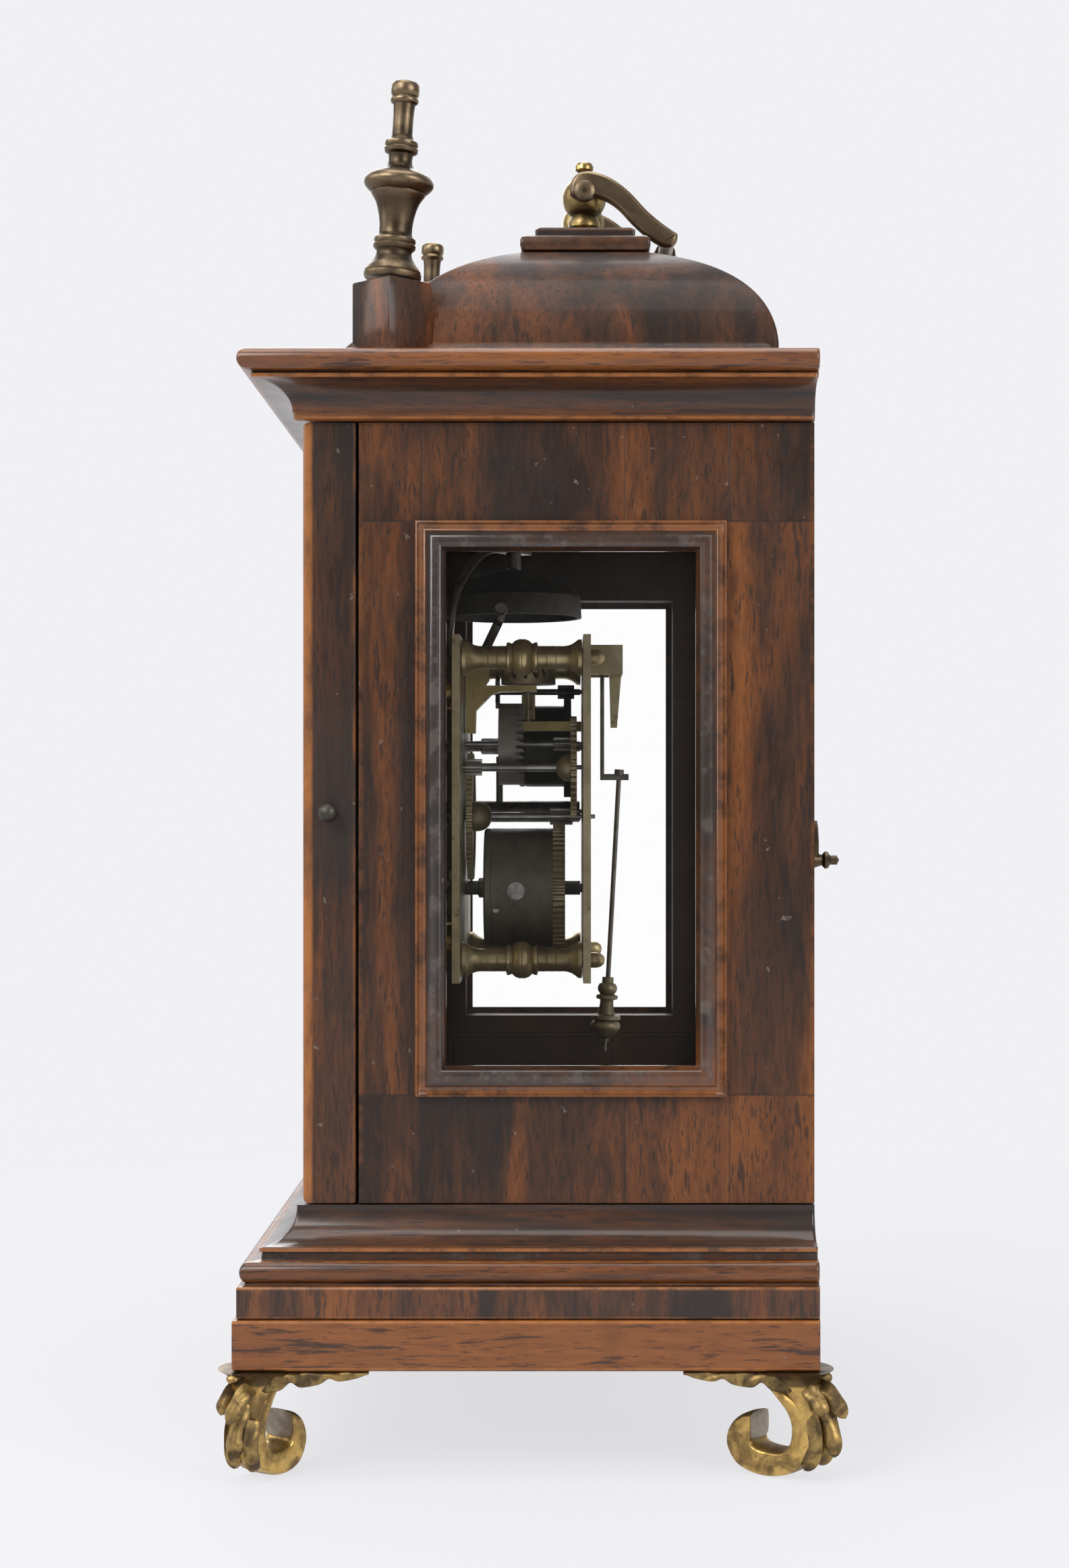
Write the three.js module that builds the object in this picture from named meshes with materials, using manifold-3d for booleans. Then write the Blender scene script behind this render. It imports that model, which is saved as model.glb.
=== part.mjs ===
// Table clock in a veneered case on scroll feet, with a spring-driven verge movement, a bell and a folding handle.
// Millimetres. X runs to the side seen in the photograph, Y from front to back, Z up from the floor.

import * as THREE from 'three';
import { mergeVertices } from 'three/addons/utils/BufferGeometryUtils.js';
import Module from 'manifold-3d';

const wasm = await Module();
wasm.setup();

// Fits
const FIT = 0.3; // gap between neighbouring pieces
const PLAY = 0.35; // radial play of a pivot in its hole

// Case body
const CASE_WIDTH = 205;
const CASE_DEPTH = 126;
const CASE_HEIGHT = 216.4;
const PANEL = 12; // thickness of a side panel
const FOOT_HEIGHT = 30;
const PLINTH_HEIGHT = 42.5;
const PLINTH_BAND = 13.6; // plain lowest band
const PLINTH_REACH = 17.5; // how far the plinth stands out from the case
const PLINTH_WALL = 14; // wall left round the hollow under the plinth
const FLOOR_THICKNESS = 12;
const CORNICE_HEIGHT = 17.8;
const CORNICE_REACH = 16.4;
const CORNICE_TOP = 6; // closed top left above the case
const CORNICE_REBATE = 16; // hollow of the cornice from its back
const DOOR_THICKNESS = 14.8;
const DOOR_GAP = 0.8; // between door and case
const DOOR_FRAME = 22;
const REAR_DOOR_THICKNESS = 11;
const REAR_DOOR_FRAME = 19;
const PIVOT_INSET = 2.5; // door pivot from the two faces of its corner
const DOOR_PIN = 1.2;
const DOOR_PIN_LENGTH = 3;
const GLASS = 2;
const LIP = 2.5; // overlap of a lip over its glass
const LIP_DEPTH = 5;

// Side windows
const WINDOW_FRONT = 22.2; // stile ahead of the window
const WINDOW_DEPTH = 72.9;
const WINDOW_BOTTOM = 36.4; // rail under the window
const WINDOW_HEIGHT = 145.9;
const MOULDING_WIDTH = 8.6;
const MOULDING_LIFT = 3.6;
const MOULDING_LAP = 2; // how far the moulding covers the glass

// Dome, blocks, finials and handle
const DOME_INSET = 8; // foot of the dome from the case sides
const DOME_HEIGHT = 38.5;
const DOME_CURVE = 35.8; // horizontal reach of the cushion curve
const DOME_SHOULDER = 17; // how far the curve's two control points stand off
const DOME_CROWN = 6;
const SKIRT_HEIGHT = 6; // sloping board under dome and blocks
const SKIRT_SLOPE = 4;
const SKIRT_FRONT = 7; // the board reaches ahead of the case front
const SKIRT_BACK = 8;
const SKIRT_SIDE = 4.5;
const CAP_LOWER = 5.2;
const CAP_UPPER = 3.2;
const CAP_STEP = 4.4;
const BLOCK = 16;
const BLOCK_HEIGHT = 22;
const BLOCK_INSET = 8.6;
const FINIAL_LEAN = [0.07, 0.035]; // each finial stands a little askew
const POST_SPREAD = 17.3; // post from the middle
const BALL_RADIUS = 6.8;
const BALL_HEIGHT = 17; // ball centre above the cap
const HANDLE_PIN = 1.6;
const HANDLE_ARM = 4; // arm thickness along X
const BAR_BACK = 25.5; // handle bar behind and below the pivot
const BAR_DOWN = 14.6;
const BAR_RADIUS = 2.3;

// Feet
const SCROLL_WIDTH = 11; // across the scroll
const SCROLL_BACK = 13.4; // eye of the scroll from the plinth's corner, on the diagonal
const SCROLL_EYE = 13.1; // eye above the floor
const EYE_RADIUS = 4.9;
const SCROLL_NARROW = 0.82; // the scroll is a little higher than wide
const SCROLL_PIVOT = 8; // the scrolls are twisted about this point on the diagonal
const SCROLL_TWIST = 10; // degrees
const WING_LENGTH = 37;

// Door furniture
const KNOB_RADIUS = 2.7;
const KNOB_REACH = 6.5;
const CATCH_LEAF = 11;
const CATCH_HEIGHT = 95; // catch pivot above the case bottom
const CATCH_REACH = 7.5;

// Dial and hands
const DIAL_CENTRE = 106.8; // dial centre above the case bottom
const DIAL_SIDE = 178;
const DIAL_PLATE = 1.8;
const DIAL_SETBACK = 5.5; // dial front behind the front of the case
const RING_OUTER = 74;
const RING_INNER = 50;
const RING_THICKNESS = 1.2;
const MINUTE_HAND = 66;
const HOUR_HAND = 46;
const HAND_THICKNESS = 1;
const DIAL_FOOT = 2.6;
const WINDING_HOLE = 4.2;

// Movement frame
const PLATE_WIDTH = 90;
const PLATE_HEIGHT = 104.5;
const PLATE_BOTTOM = 57; // plates above the case bottom
const PLATE = 2.3;
const PLATE_SPACE = 37; // between the plates
const FRONT_SPACE = 15.9; // dial to front plate
const PILLAR_X = 31;
const PILLAR_MARGIN = 6.2; // pillar axis from the plate edges above and below
const PILLAR_RADIUS = 3.5;
const PILLAR_KNOP = 5.6;
const PILLAR_TENON = 2.3;
const PILLAR_TAIL = 4.4;

// Going train: teeth, leaves and modules
const GREAT_TEETH = 64;
const CENTRE_LEAVES = 8;
const GREAT_MODULE = 0.628;
const CENTRE_TEETH = 64;
const THIRD_LEAVES = 8;
const CENTRE_MODULE = 0.605;
const THIRD_TEETH = 45;
const CONTRATE_LEAVES = 6;
const THIRD_MODULE = 0.676;
const CONTRATE_TEETH = 36;
const CROWN_LEAVES = 6;
const CONTRATE_MODULE = 0.68;
const CONTRATE_RIM = 1.3;
const CONTRATE_DEEP = 5.4;
const CROWN_TEETH = 15;
const CROWN_RADIUS = 8.6;
const THIRD_SIDEWAYS = 15.5; // third arbor to the side of the middle
const DRUM_RADIUS = 18.8;
const DRUM_LENGTH = 21.6;
const GREAT_THICKNESS = 3.8;
const WHEEL_THICKNESS = 1.9;
const ARBOR = 1.3;
const PIVOT = 0.7;
const BARREL_ARBOR = 2.2;
const SQUARE = 3.2;
const RATCHET_TEETH = 14;
const RATCHET_RADIUS = 7;
const RATCHET_THICKNESS = 1.6;
const CLICK_LENGTH = 9;
const CLICK_PIVOT = 1.3;

// Motion work
const CANNON_LEAVES = 8;
const MINUTE_TEETH = 24;
const MINUTE_LEAVES = 6;
const HOUR_TEETH = 24;
const CANNON_MODULE = 0.75;
const PIPE = 3.1;

// Escapement and pendulum
const VERGE_RISE = 26.2; // verge above the contrate arbor
const VERGE = 0.9;
const PALLET = 2.2;
const COCK_WIDTH = 22;
const COCK_REACH = 10;
const COCK_HEIGHT = 9.2;
const COCK_BRIDGE = 4.2;
const CRUTCH_DROP = 36.6;
const CRUTCH_THICKNESS = 1.3;
const CRUTCH_BACK = 3.4; // crutch behind the back plate
const ROD = 0.75;
const ROD_LENGTH = 88;
const ROD_LEAN = 0.054; // rod leans towards the plate, radians
const BOB_SEAT = 22.2; // top of the bob above the rod's end

// Alarm train
const ALARM_X = -27;
const ALARM_RISE = 22.8; // alarm barrel above the dial centre
const ALARM_TEETH = 48;
const ALARM_LEAVES = 6;
const ALARM_MODULE = 0.667;
const ALARM_DRUM = 13.2;
const ALARM_DRUM_LENGTH = 14.6;
const ALARM_THICKNESS = 2.4;
const ALARM_ARBOR = 1.7;
const STAR_RADIUS = 5.5;
const LEVER_X = -30;
const LEVER_RISE = 1.5;
const LEVER_HUB = 3.5;
const LEVER_HEIGHT = 18;

// Bell and hammer
const BELL_RADIUS = 21.5;
const BELL_HEIGHT = 15;
const BELL_WALL = 1.4;
const BELL_LIFT = 8; // rim above the plates
const BELL_BACK = 15.3; // bell centre behind the front plate
const BELL_STUD = 1.5;
const STAND_WIDTH = 7;
const STAND_THICKNESS = 1.5;
const HAMMER_X = 19.5;
const HAMMER_DROP = 3.4; // hammer arbor under the plates' top
const HAMMER_HEAD = 5;

// Places that follow from the sizes above
const HALF = CASE_WIDTH / 2;
const BACK = CASE_DEPTH / 2;
const FRONT = -CASE_DEPTH / 2;
const DOOR_BACK = FRONT - DOOR_GAP;
const DOOR_FRONT = DOOR_BACK - DOOR_THICKNESS;
const BASE = FOOT_HEIGHT + PLINTH_HEIGHT;
const TOP = BASE + CASE_HEIGHT;
const CORNICE = TOP + CORNICE_HEIGHT;
const INNER = HALF - PANEL;
const DOME = CORNICE + DOME_HEIGHT;
const CAP = DOME + CAP_LOWER + CAP_UPPER;
const PIVOT_HEIGHT = CAP + BALL_HEIGHT;
const DIAL_FACE = FRONT + DIAL_SETBACK;
const DIAL_BACK = DIAL_FACE + DIAL_PLATE;
const PLATE_A = DIAL_BACK + FRONT_SPACE; // front of the front plate
const INSIDE_A = PLATE_A + PLATE;
const INSIDE_B = INSIDE_A + PLATE_SPACE;
const PLATE_B = INSIDE_B + PLATE; // back of the back plate
const PLATE_LOW = BASE + PLATE_BOTTOM;
const PLATE_HIGH = PLATE_LOW + PLATE_HEIGHT;
const centre = { x: 0, z: BASE + DIAL_CENTRE };
const great = { x: 0, z: centre.z - ((GREAT_TEETH + CENTRE_LEAVES) * GREAT_MODULE) / 2 };
const thirdReach = ((CENTRE_TEETH + THIRD_LEAVES) * CENTRE_MODULE) / 2;
const third = { x: THIRD_SIDEWAYS, z: centre.z + Math.sqrt(thirdReach ** 2 - THIRD_SIDEWAYS ** 2) };
const contrateReach = ((THIRD_TEETH + CONTRATE_LEAVES) * THIRD_MODULE) / 2;
const contrate = { x: 0, z: third.z + Math.sqrt(contrateReach ** 2 - THIRD_SIDEWAYS ** 2) };
const alarm = { x: ALARM_X, z: centre.z + ALARM_RISE };
const alarmReach = ((ALARM_TEETH + ALARM_LEAVES) * ALARM_MODULE) / 2;
const ALARM_ANGLE = 1.35; // from the alarm barrel up to the arbor that it drives
const star = { x: alarm.x + alarmReach * Math.cos(ALARM_ANGLE), z: alarm.z + alarmReach * Math.sin(ALARM_ANGLE) };
const motionReach = ((CANNON_LEAVES + MINUTE_TEETH) * CANNON_MODULE) / 2;
const MINUTE_MODULE = (2 * motionReach) / (MINUTE_LEAVES + HOUR_TEETH);
const minute = { x: motionReach, z: centre.z };
const lever = { x: LEVER_X, z: centre.z + LEVER_RISE };
const hammer = { x: HAMMER_X, z: PLATE_HIGH - HAMMER_DROP };
const verge = { x: contrate.x, z: contrate.z + VERGE_RISE };
const CONTRATE_PITCH = (CONTRATE_TEETH * CONTRATE_MODULE) / 2;
const CONTRATE_FRONT = INSIDE_A + 10.7; // front of the contrate wheel
const CONTRATE_ROOT = CONTRATE_FRONT + CONTRATE_DEEP;
const CONTRATE_TIP = CONTRATE_ROOT + 2.5 * CONTRATE_MODULE * 1.45;
const CROWN_AXIS = CONTRATE_TIP - 0.9 * CONTRATE_MODULE + (CROWN_LEAVES * CONTRATE_MODULE) / 2;
const CROWN_LEAF_LOW = contrate.z + CONTRATE_PITCH - 4.4;
const CROWN_LEAF_HIGH = contrate.z + CONTRATE_PITCH + 3.6;
const CROWN_FLOOR = CROWN_LEAF_HIGH + 3; // underside of the crown wheel
const CROWN_TIP = verge.z - PALLET * Math.cos(0.6) - FIT;
const pillars = [
  ['upper_right', PILLAR_X, PLATE_HIGH - PILLAR_MARGIN],
  ['upper_left', -PILLAR_X, PLATE_HIGH - PILLAR_MARGIN],
  ['lower_right', PILLAR_X, PLATE_LOW + PILLAR_MARGIN],
  ['lower_left', -PILLAR_X, PLATE_LOW + PILLAR_MARGIN],
];

// Shapes

/** Closed solid of a geometry, with its faces turned outwards. */
function solid(geometry) {
  const bare = new THREE.BufferGeometry();
  bare.setAttribute('position', geometry.getAttribute('position').clone());
  if (geometry.index) bare.setIndex(geometry.index.clone());
  const welded = mergeVertices(bare, 1e-4);
  const at = welded.getAttribute('position').array;
  const corners = welded.index.array;
  const faces = [];
  let volume = 0;
  for (let i = 0; i < corners.length; i += 3) {
    const [a, b, c] = [corners[i], corners[i + 1], corners[i + 2]];
    if (a === b || b === c || c === a) continue;
    faces.push(a, b, c);
    const [p, q, r] = [a, b, c].map((k) => new THREE.Vector3(at[3 * k], at[3 * k + 1], at[3 * k + 2]));
    volume += p.dot(q.cross(r));
  }
  if (volume < 0) faces.reverse();
  const mesh = new wasm.Mesh({
    numProp: 3,
    vertProperties: Float32Array.from(at),
    triVerts: Uint32Array.from(faces),
  });
  return new wasm.Manifold(mesh);
}

const join = (...pieces) => pieces.map((p) => (p.isBufferGeometry ? solid(p) : p)).reduce((a, b) => a.add(b));
const cut = (body, ...tools) =>
  tools
    .map((p) => (p.isBufferGeometry ? solid(p) : p))
    .reduce((a, b) => a.subtract(b), body.isBufferGeometry ? solid(body) : body);

const box = (x0, x1, y0, y1, z0, z1) =>
  new THREE.BoxGeometry(x1 - x0, y1 - y0, z1 - z0).translate((x0 + x1) / 2, (y0 + y1) / 2, (z0 + z1) / 2);

/** Round bar along Y. */
const rod = (radius, from, to, x = 0, z = 0, sides = 10) =>
  new THREE.CylinderGeometry(radius, radius, to - from, sides).translate(x, (from + to) / 2, z);

/** Turned piece about Y: the profile lists radius and place along the axis. */
const turned = (profile, sides = 10) => new THREE.LatheGeometry(profile.map(([r, y]) => new THREE.Vector2(r, y)), sides);

const upright = (geometry) => geometry.rotateX(Math.PI / 2);
const sideways = (geometry) => geometry.rotateZ(-Math.PI / 2);

/** Outline extruded along Y, its first axis along X and its second along Z. */
const slab = (shape, from, to, segments = 4) =>
  new THREE.ExtrudeGeometry(shape, { depth: to - from, bevelEnabled: false, curveSegments: segments })
    .rotateX(Math.PI / 2)
    .translate(0, to, 0);

const polygon = (points) => new THREE.Shape(points.map(([x, y]) => new THREE.Vector2(x, y)));
const polar = (r, a) => [r * Math.cos(a), r * Math.sin(a)];

/** Solid through rings that have the same number of points. */
function loft(rings, closed = false) {
  const n = rings[0].length;
  const at = rings.flat(2);
  const faces = [];
  const last = closed ? rings.length : rings.length - 1;
  for (let i = 0; i < last; i += 1) {
    const next = ((i + 1) % rings.length) * n;
    for (let k = 0; k < n; k += 1) {
      const [a, b, c, d] = [i * n + k, i * n + ((k + 1) % n), next + k, next + ((k + 1) % n)];
      faces.push(a, b, d, a, d, c);
    }
  }
  if (!closed) {
    const end = (rings.length - 1) * n;
    for (let k = 1; k < n - 1; k += 1) faces.push(0, k + 1, k, end, end + k, end + k + 1);
  }
  const geometry = new THREE.BufferGeometry();
  geometry.setAttribute('position', new THREE.Float32BufferAttribute(at, 3));
  geometry.setIndex(faces);
  return geometry;
}

/** Moulded block: each step lists how far it stands out and its height. */
const moulded = (steps, side, front, back, backShare = 0) =>
  loft(
    steps.map(([out, z]) => [
      [-side - out, front - out, z],
      [side + out, front - out, z],
      [side + out, back + out * backShare, z],
      [-side - out, back + out * backShare, z],
    ]),
  );

const arc = (cx, cz, rx, rz, from, to, steps) =>
  Array.from({ length: steps + 1 }, (_, i) => {
    const a = from + ((to - from) * i) / steps;
    return [cx + rx * Math.cos(a), cz + rz * Math.sin(a)];
  });

/** Wheel outline with a tooth centred at the given phase. */
function wheelShape(teeth, module, phase) {
  const pitch = (teeth * module) / 2;
  const step = (2 * Math.PI) / teeth;
  const points = [];
  for (let k = 0; k < teeth; k += 1) {
    const a = phase + k * step;
    points.push(polar(pitch + module * 0.95, a), polar(pitch - module * 1.6, a + step * 0.5));
  }
  return polygon(points);
}

/** Pinion outline with a gap between leaves centred at the given phase. */
function pinionShape(leaves, module, phase) {
  const pitch = (leaves * module) / 2;
  const step = (2 * Math.PI) / leaves;
  const points = [];
  for (let k = 0; k < leaves; k += 1) {
    const a = phase + (k + 0.5) * step;
    points.push(polar(pitch - module * 1.15, a - step * 0.24), polar(pitch + module * 0.5, a - step * 0.075));
    points.push(polar(pitch + module * 0.5, a + step * 0.075), polar(pitch - module * 1.15, a + step * 0.24));
  }
  return polygon(points);
}

/** Four openings between the arms of a wheel. */
function crossings(shape, inner, outer) {
  for (let k = 0; k < 4; k += 1) {
    const a = (k * Math.PI) / 2;
    const [near, far] = [0.34, 0.16];
    const points = [polar(inner, a + near), polar(inner, a + Math.PI / 2 - near)];
    for (let i = 0; i <= 3; i += 1) points.push(polar(outer, a + Math.PI / 2 - far - (i * (Math.PI / 2 - 2 * far)) / 3));
    shape.holes.push(new THREE.Path(points.map(([x, y]) => new THREE.Vector2(x, y))));
  }
  return shape;
}

/** Ring with teeth that stand up along Z: stations list angle and height of its toothed edge. */
function toothedRing(inner, outer, base, stations) {
  const point = (r, a, z) => [r * Math.cos(a), r * Math.sin(a), z];
  return loft(
    stations.map(([a, z]) => [point(inner, a, base), point(outer, a, base), point(outer, a, z), point(inner, a, z)]),
    true,
  );
}

const clock = new THREE.Group();
clock.name = 'table_clock';

const looks = {
  wood: { color: '#54301c', roughness: 0.42, metalness: 0 },
  gilt: { color: '#a98a4e', roughness: 0.4, metalness: 0.9 },
  bronze: { color: '#6e5a3a', roughness: 0.42, metalness: 0.85 },
  brass: { color: '#9a8654', roughness: 0.45, metalness: 0.85 },
  steel: { color: '#5a5752', roughness: 0.4, metalness: 0.85 },
  glass: { color: '#dfe7e6', roughness: 0.06, metalness: 0, transparent: true, opacity: 0.25 },
  silvered: { color: '#cdcac0', roughness: 0.5, metalness: 0.6 },
};

/** Adds one piece to the clock at its place. */
function piece(name, body, look, x = 0, y = 0, z = 0, turn = 0) {
  const shape = body.isBufferGeometry ? solid(body) : body;
  const { vertProperties, triVerts } = shape.getMesh();
  const geometry = new THREE.BufferGeometry();
  geometry.setAttribute('position', new THREE.Float32BufferAttribute(vertProperties, 3));
  geometry.setIndex(Array.from(triVerts));
  geometry.computeVertexNormals();
  const mesh = new THREE.Mesh(geometry, new THREE.MeshStandardMaterial({ ...looks[look], flatShading: true }));
  mesh.name = name;
  mesh.position.set(x, y, z);
  mesh.rotation.z = turn;
  clock.add(mesh);
}

// Plinth, side panels and cornice

const frontPin = { x: -HALF + PIVOT_INSET, y: DOOR_BACK - PIVOT_INSET };
const rearPin = { x: -INNER + FIT + PIVOT_INSET, y: BACK - FIT - PIVOT_INSET };
const pinHole = (pin, low, high) => upright(rod(DOOR_PIN + PLAY, low, high)).translate(pin.x, pin.y, 0);
const pinHoles = (low, high) => [pinHole(frontPin, low, high), pinHole(rearPin, low, high)];

const band = FOOT_HEIGHT + PLINTH_BAND;
const plinthSteps = [
  [PLINTH_REACH, FOOT_HEIGHT],
  [PLINTH_REACH, band - 0.3],
  [PLINTH_REACH - 1.3, band + 0.3],
  [PLINTH_REACH - 1.3, band + 8.9],
  ...arc(PLINTH_REACH - 4, band + 12.5, 2.2, 2.9, -1.3, 1.3, 4),
  [PLINTH_REACH - 7.4, band + 15.7],
  [PLINTH_REACH - 7.4, band + 17.3],
  [PLINTH_REACH - 6.7, band + 17.5],
  [PLINTH_REACH - 6.7, band + 18.6],
  ...arc(PLINTH_REACH - 7.3, BASE - 1, 8.7, BASE - 1 - band - 18.8, -Math.PI / 2, -Math.PI, 6),
  [PLINTH_REACH - 16, BASE],
];
const plinthHollow = box(
  -HALF - PLINTH_REACH + PLINTH_WALL,
  HALF + PLINTH_REACH - PLINTH_WALL,
  DOOR_FRONT - PLINTH_REACH + PLINTH_WALL,
  BACK - PLINTH_WALL,
  FOOT_HEIGHT - 1,
  BASE - FLOOR_THICKNESS,
);
piece(
  'plinth',
  cut(moulded(plinthSteps, HALF, DOOR_FRONT, BACK), plinthHollow, ...pinHoles(BASE - DOOR_PIN_LENGTH - 1, BASE + 1)),
  'wood',
);

const windowY0 = FRONT + WINDOW_FRONT;
const windowY1 = windowY0 + WINDOW_DEPTH;
const windowZ0 = BASE + WINDOW_BOTTOM;
const windowZ1 = windowZ0 + WINDOW_HEIGHT;
for (const [side, sign] of [['right', 1], ['left', -1]]) {
  const across = (a, b) => (sign > 0 ? [a, b] : [-b, -a]);
  const panel = box(...across(INNER, HALF), FRONT, BACK, BASE + FIT, TOP - FIT);
  const hole = box(...across(INNER - 1, HALF + 1), windowY0, windowY1, windowZ0, windowZ1);
  piece(`side_panel_${side}`, cut(panel, hole), 'wood');

  const inset = -MOULDING_LAP;
  const outset = MOULDING_WIDTH + inset;
  const face = HALF + FIT;
  const profile = [
    [inset, face],
    [outset, face],
    [outset, face + MOULDING_LIFT * 0.6],
    [outset - 0.9, face + MOULDING_LIFT],
    [outset - 2.3, face + MOULDING_LIFT],
    [outset - 3, face + MOULDING_LIFT * 0.55],
    [inset + 2.6, face + MOULDING_LIFT * 0.3],
    [inset + 1, face + MOULDING_LIFT * 0.62],
    [inset, face + MOULDING_LIFT * 0.4],
  ];
  const corners = [[windowY0, windowZ0, -1, -1], [windowY1, windowZ0, 1, -1], [windowY1, windowZ1, 1, 1], [windowY0, windowZ1, -1, 1]];
  const rings = corners.map(([y, z, sy, sz]) => profile.map(([out, x]) => [sign * x, y + sy * out, z + sz * out]));
  piece(`window_moulding_${side}`, loft(rings, true), 'wood');

  const pane = box(
    ...across(HALF - GLASS, HALF),
    windowY0 + FIT,
    windowY1 - FIT,
    windowZ0 + FIT,
    windowZ1 - FIT,
  );
  piece(`side_glass_${side}`, pane, 'glass');
}

const corniceSteps = [
  [1.6, TOP],
  [2.4, TOP + 0.5],
  [2.4, TOP + 2],
  ...arc(CORNICE_REACH - 4.6, TOP + 2.2, 9.2, 8, Math.PI, Math.PI / 2, 6),
  [CORNICE_REACH - 3.4, TOP + 10.2],
  [CORNICE_REACH - 3.4, TOP + 11.2],
  [CORNICE_REACH - 3.9, TOP + 11.8],
  ...arc(CORNICE_REACH - 2.4, TOP + 15, 2.4, 2.8, -1.2, Math.PI / 2, 5),
];
const corniceHollow = box(-INNER + 4, INNER - 4, FRONT + 4, BACK - CORNICE_REBATE, TOP - 1, CORNICE - CORNICE_TOP);
piece(
  'cornice',
  cut(moulded(corniceSteps, HALF, DOOR_FRONT, BACK), corniceHollow, ...pinHoles(TOP - 1, TOP + DOOR_PIN_LENGTH + 1)),
  'wood',
);

// Dome with its cap, corner blocks and finials

const domeSide = HALF - DOME_INSET;
const domeDepth = BACK - DOME_INSET;
const skirtTop = CORNICE + SKIRT_HEIGHT;
const curve = new THREE.CubicBezierCurve(
  new THREE.Vector2(-1, skirtTop),
  new THREE.Vector2(-2.4, skirtTop + DOME_SHOULDER),
  new THREE.Vector2(-DOME_CURVE + DOME_SHOULDER + 1, DOME - DOME_CROWN),
  new THREE.Vector2(-DOME_CURVE, DOME),
);
const domeSteps = [[-1, CORNICE + FIT], ...curve.getPoints(9).map((p) => [p.x, p.y])];
const skirt = moulded(
  [[0, CORNICE + FIT], [0, CORNICE + 1.4], [-SKIRT_SLOPE, skirtTop - 0.4], [-SKIRT_SLOPE - 2, skirtTop]],
  HALF - SKIRT_SIDE,
  FRONT - SKIRT_FRONT,
  BACK - SKIRT_BACK,
  1,
);
const blockX = HALF - BLOCK_INSET;
const blockY = FRONT + BLOCK_INSET;
const blockTop = CORNICE + FIT + BLOCK_HEIGHT;
const blockShape = (grow) =>
  new THREE.BoxGeometry(BLOCK + 2 * grow, BLOCK + 2 * grow, BLOCK_HEIGHT + 2 * grow).rotateZ(Math.PI / 4);
const blockAt = (sign) => blockShape(FIT).translate(sign * blockX, blockY, blockTop - BLOCK_HEIGHT / 2);
piece(
  'dome',
  cut(join(moulded(domeSteps, domeSide, -domeDepth, domeDepth, 1), skirt), blockAt(1), blockAt(-1)),
  'wood',
);

const capSteps = [
  [-1.8, DOME + FIT],
  [-0.4, DOME + 0.9],
  [0, DOME + 2.2],
  [0, DOME + CAP_LOWER - 1.4],
  [-1.2, DOME + CAP_LOWER],
  [-CAP_STEP, DOME + CAP_LOWER],
  [-CAP_STEP, CAP - 0.7],
  [-CAP_STEP - 0.8, CAP],
];
piece('dome_cap', moulded(capSteps, domeSide - DOME_CURVE, -domeDepth + DOME_CURVE, domeDepth - DOME_CURVE, 1), 'wood');

const finial = [
  [0, 0], [7.4, 0], [8.1, 1.6], [8.1, 3.4], [6.6, 5.2], [4.4, 6.3], [4, 8], [5.4, 8.8], [5.9, 10.6], [5.3, 12.6],
  [4, 13.4], [4.2, 17], [5.4, 20.5], [8, 23.6], [9.9, 26], [9.9, 28.6], [8.2, 31], [4.4, 32.4], [3.6, 34],
  [4.9, 35], [5.1, 37.4], [4.2, 39.4], [2.9, 40.2], [2.9, 50], [4.1, 51.4], [4.1, 54], [3, 55.6], [0, 55.6],
];
for (const [side, sign] of [['right', 1], ['left', -1]]) {
  piece(`finial_block_${side}`, blockShape(0), 'wood', sign * blockX, blockY, blockTop - BLOCK_HEIGHT / 2);
  const lean = FINIAL_LEAN[sign > 0 ? 0 : 1];
  const lift = Math.max(...finial.map(([r]) => r)) * Math.sin(lean);
  const standing = upright(turned(finial)).rotateX(-lean);
  piece(`finial_${side}`, standing, 'bronze', sign * blockX, blockY, blockTop + FIT + lift);
}

// Ball posts and folding handle

const postProfile = [
  [0, -BALL_HEIGHT + FIT], [5.4, -BALL_HEIGHT + FIT], [5.2, -BALL_HEIGHT + 2], [3.2, -BALL_HEIGHT + 4],
  [3, -BALL_RADIUS - 3.4], [4.9, -BALL_RADIUS - 2.2], [4.6, -BALL_RADIUS - 0.6],
  ...arc(0, 0, BALL_RADIUS, BALL_RADIUS, -0.95, 1.3, 7),
  [1.7, BALL_RADIUS + 1.2], [2.8, BALL_RADIUS + 2], [2.6, BALL_RADIUS + 3.8], [1.4, BALL_RADIUS + 4.4], [0, BALL_RADIUS + 4.4],
];
const armX0 = POST_SPREAD + BALL_RADIUS + FIT;
const armX1 = armX0 + HANDLE_ARM;
for (const [side, sign] of [['right', 1], ['left', -1]]) {
  const bore = sideways(rod(HANDLE_PIN + PLAY, 1, BALL_RADIUS + 1, 0, 0, 8));
  if (sign < 0) bore.rotateZ(Math.PI);
  piece(`handle_post_${side}`, cut(upright(turned(postProfile)), bore), 'bronze', sign * POST_SPREAD, 0, PIVOT_HEIGHT);
}
const arm = new THREE.Shape();
arm.moveTo(-4.4, -1);
arm.quadraticCurveTo(-5, 6, 1, 6.2);
arm.quadraticCurveTo(9, 5.6, 16.5, -3);
arm.quadraticCurveTo(21, -8.4, BAR_BACK + 3, -BAR_DOWN + 1.6);
arm.lineTo(BAR_BACK + 1, -BAR_DOWN - 2.4);
arm.lineTo(BAR_BACK - 3, -BAR_DOWN - 1.6);
arm.quadraticCurveTo(17, -13, 12, -7);
arm.quadraticCurveTo(8, -2.6, 3, -1.6);
arm.quadraticCurveTo(0, -4.6, -4.4, -1);
const armGeometry = (x) =>
  new THREE.ExtrudeGeometry(arm, { depth: HANDLE_ARM, bevelEnabled: false, curveSegments: 4 })
    .rotateX(Math.PI / 2)
    .rotateZ(Math.PI / 2)
    .translate(x, 0, 0);
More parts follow.
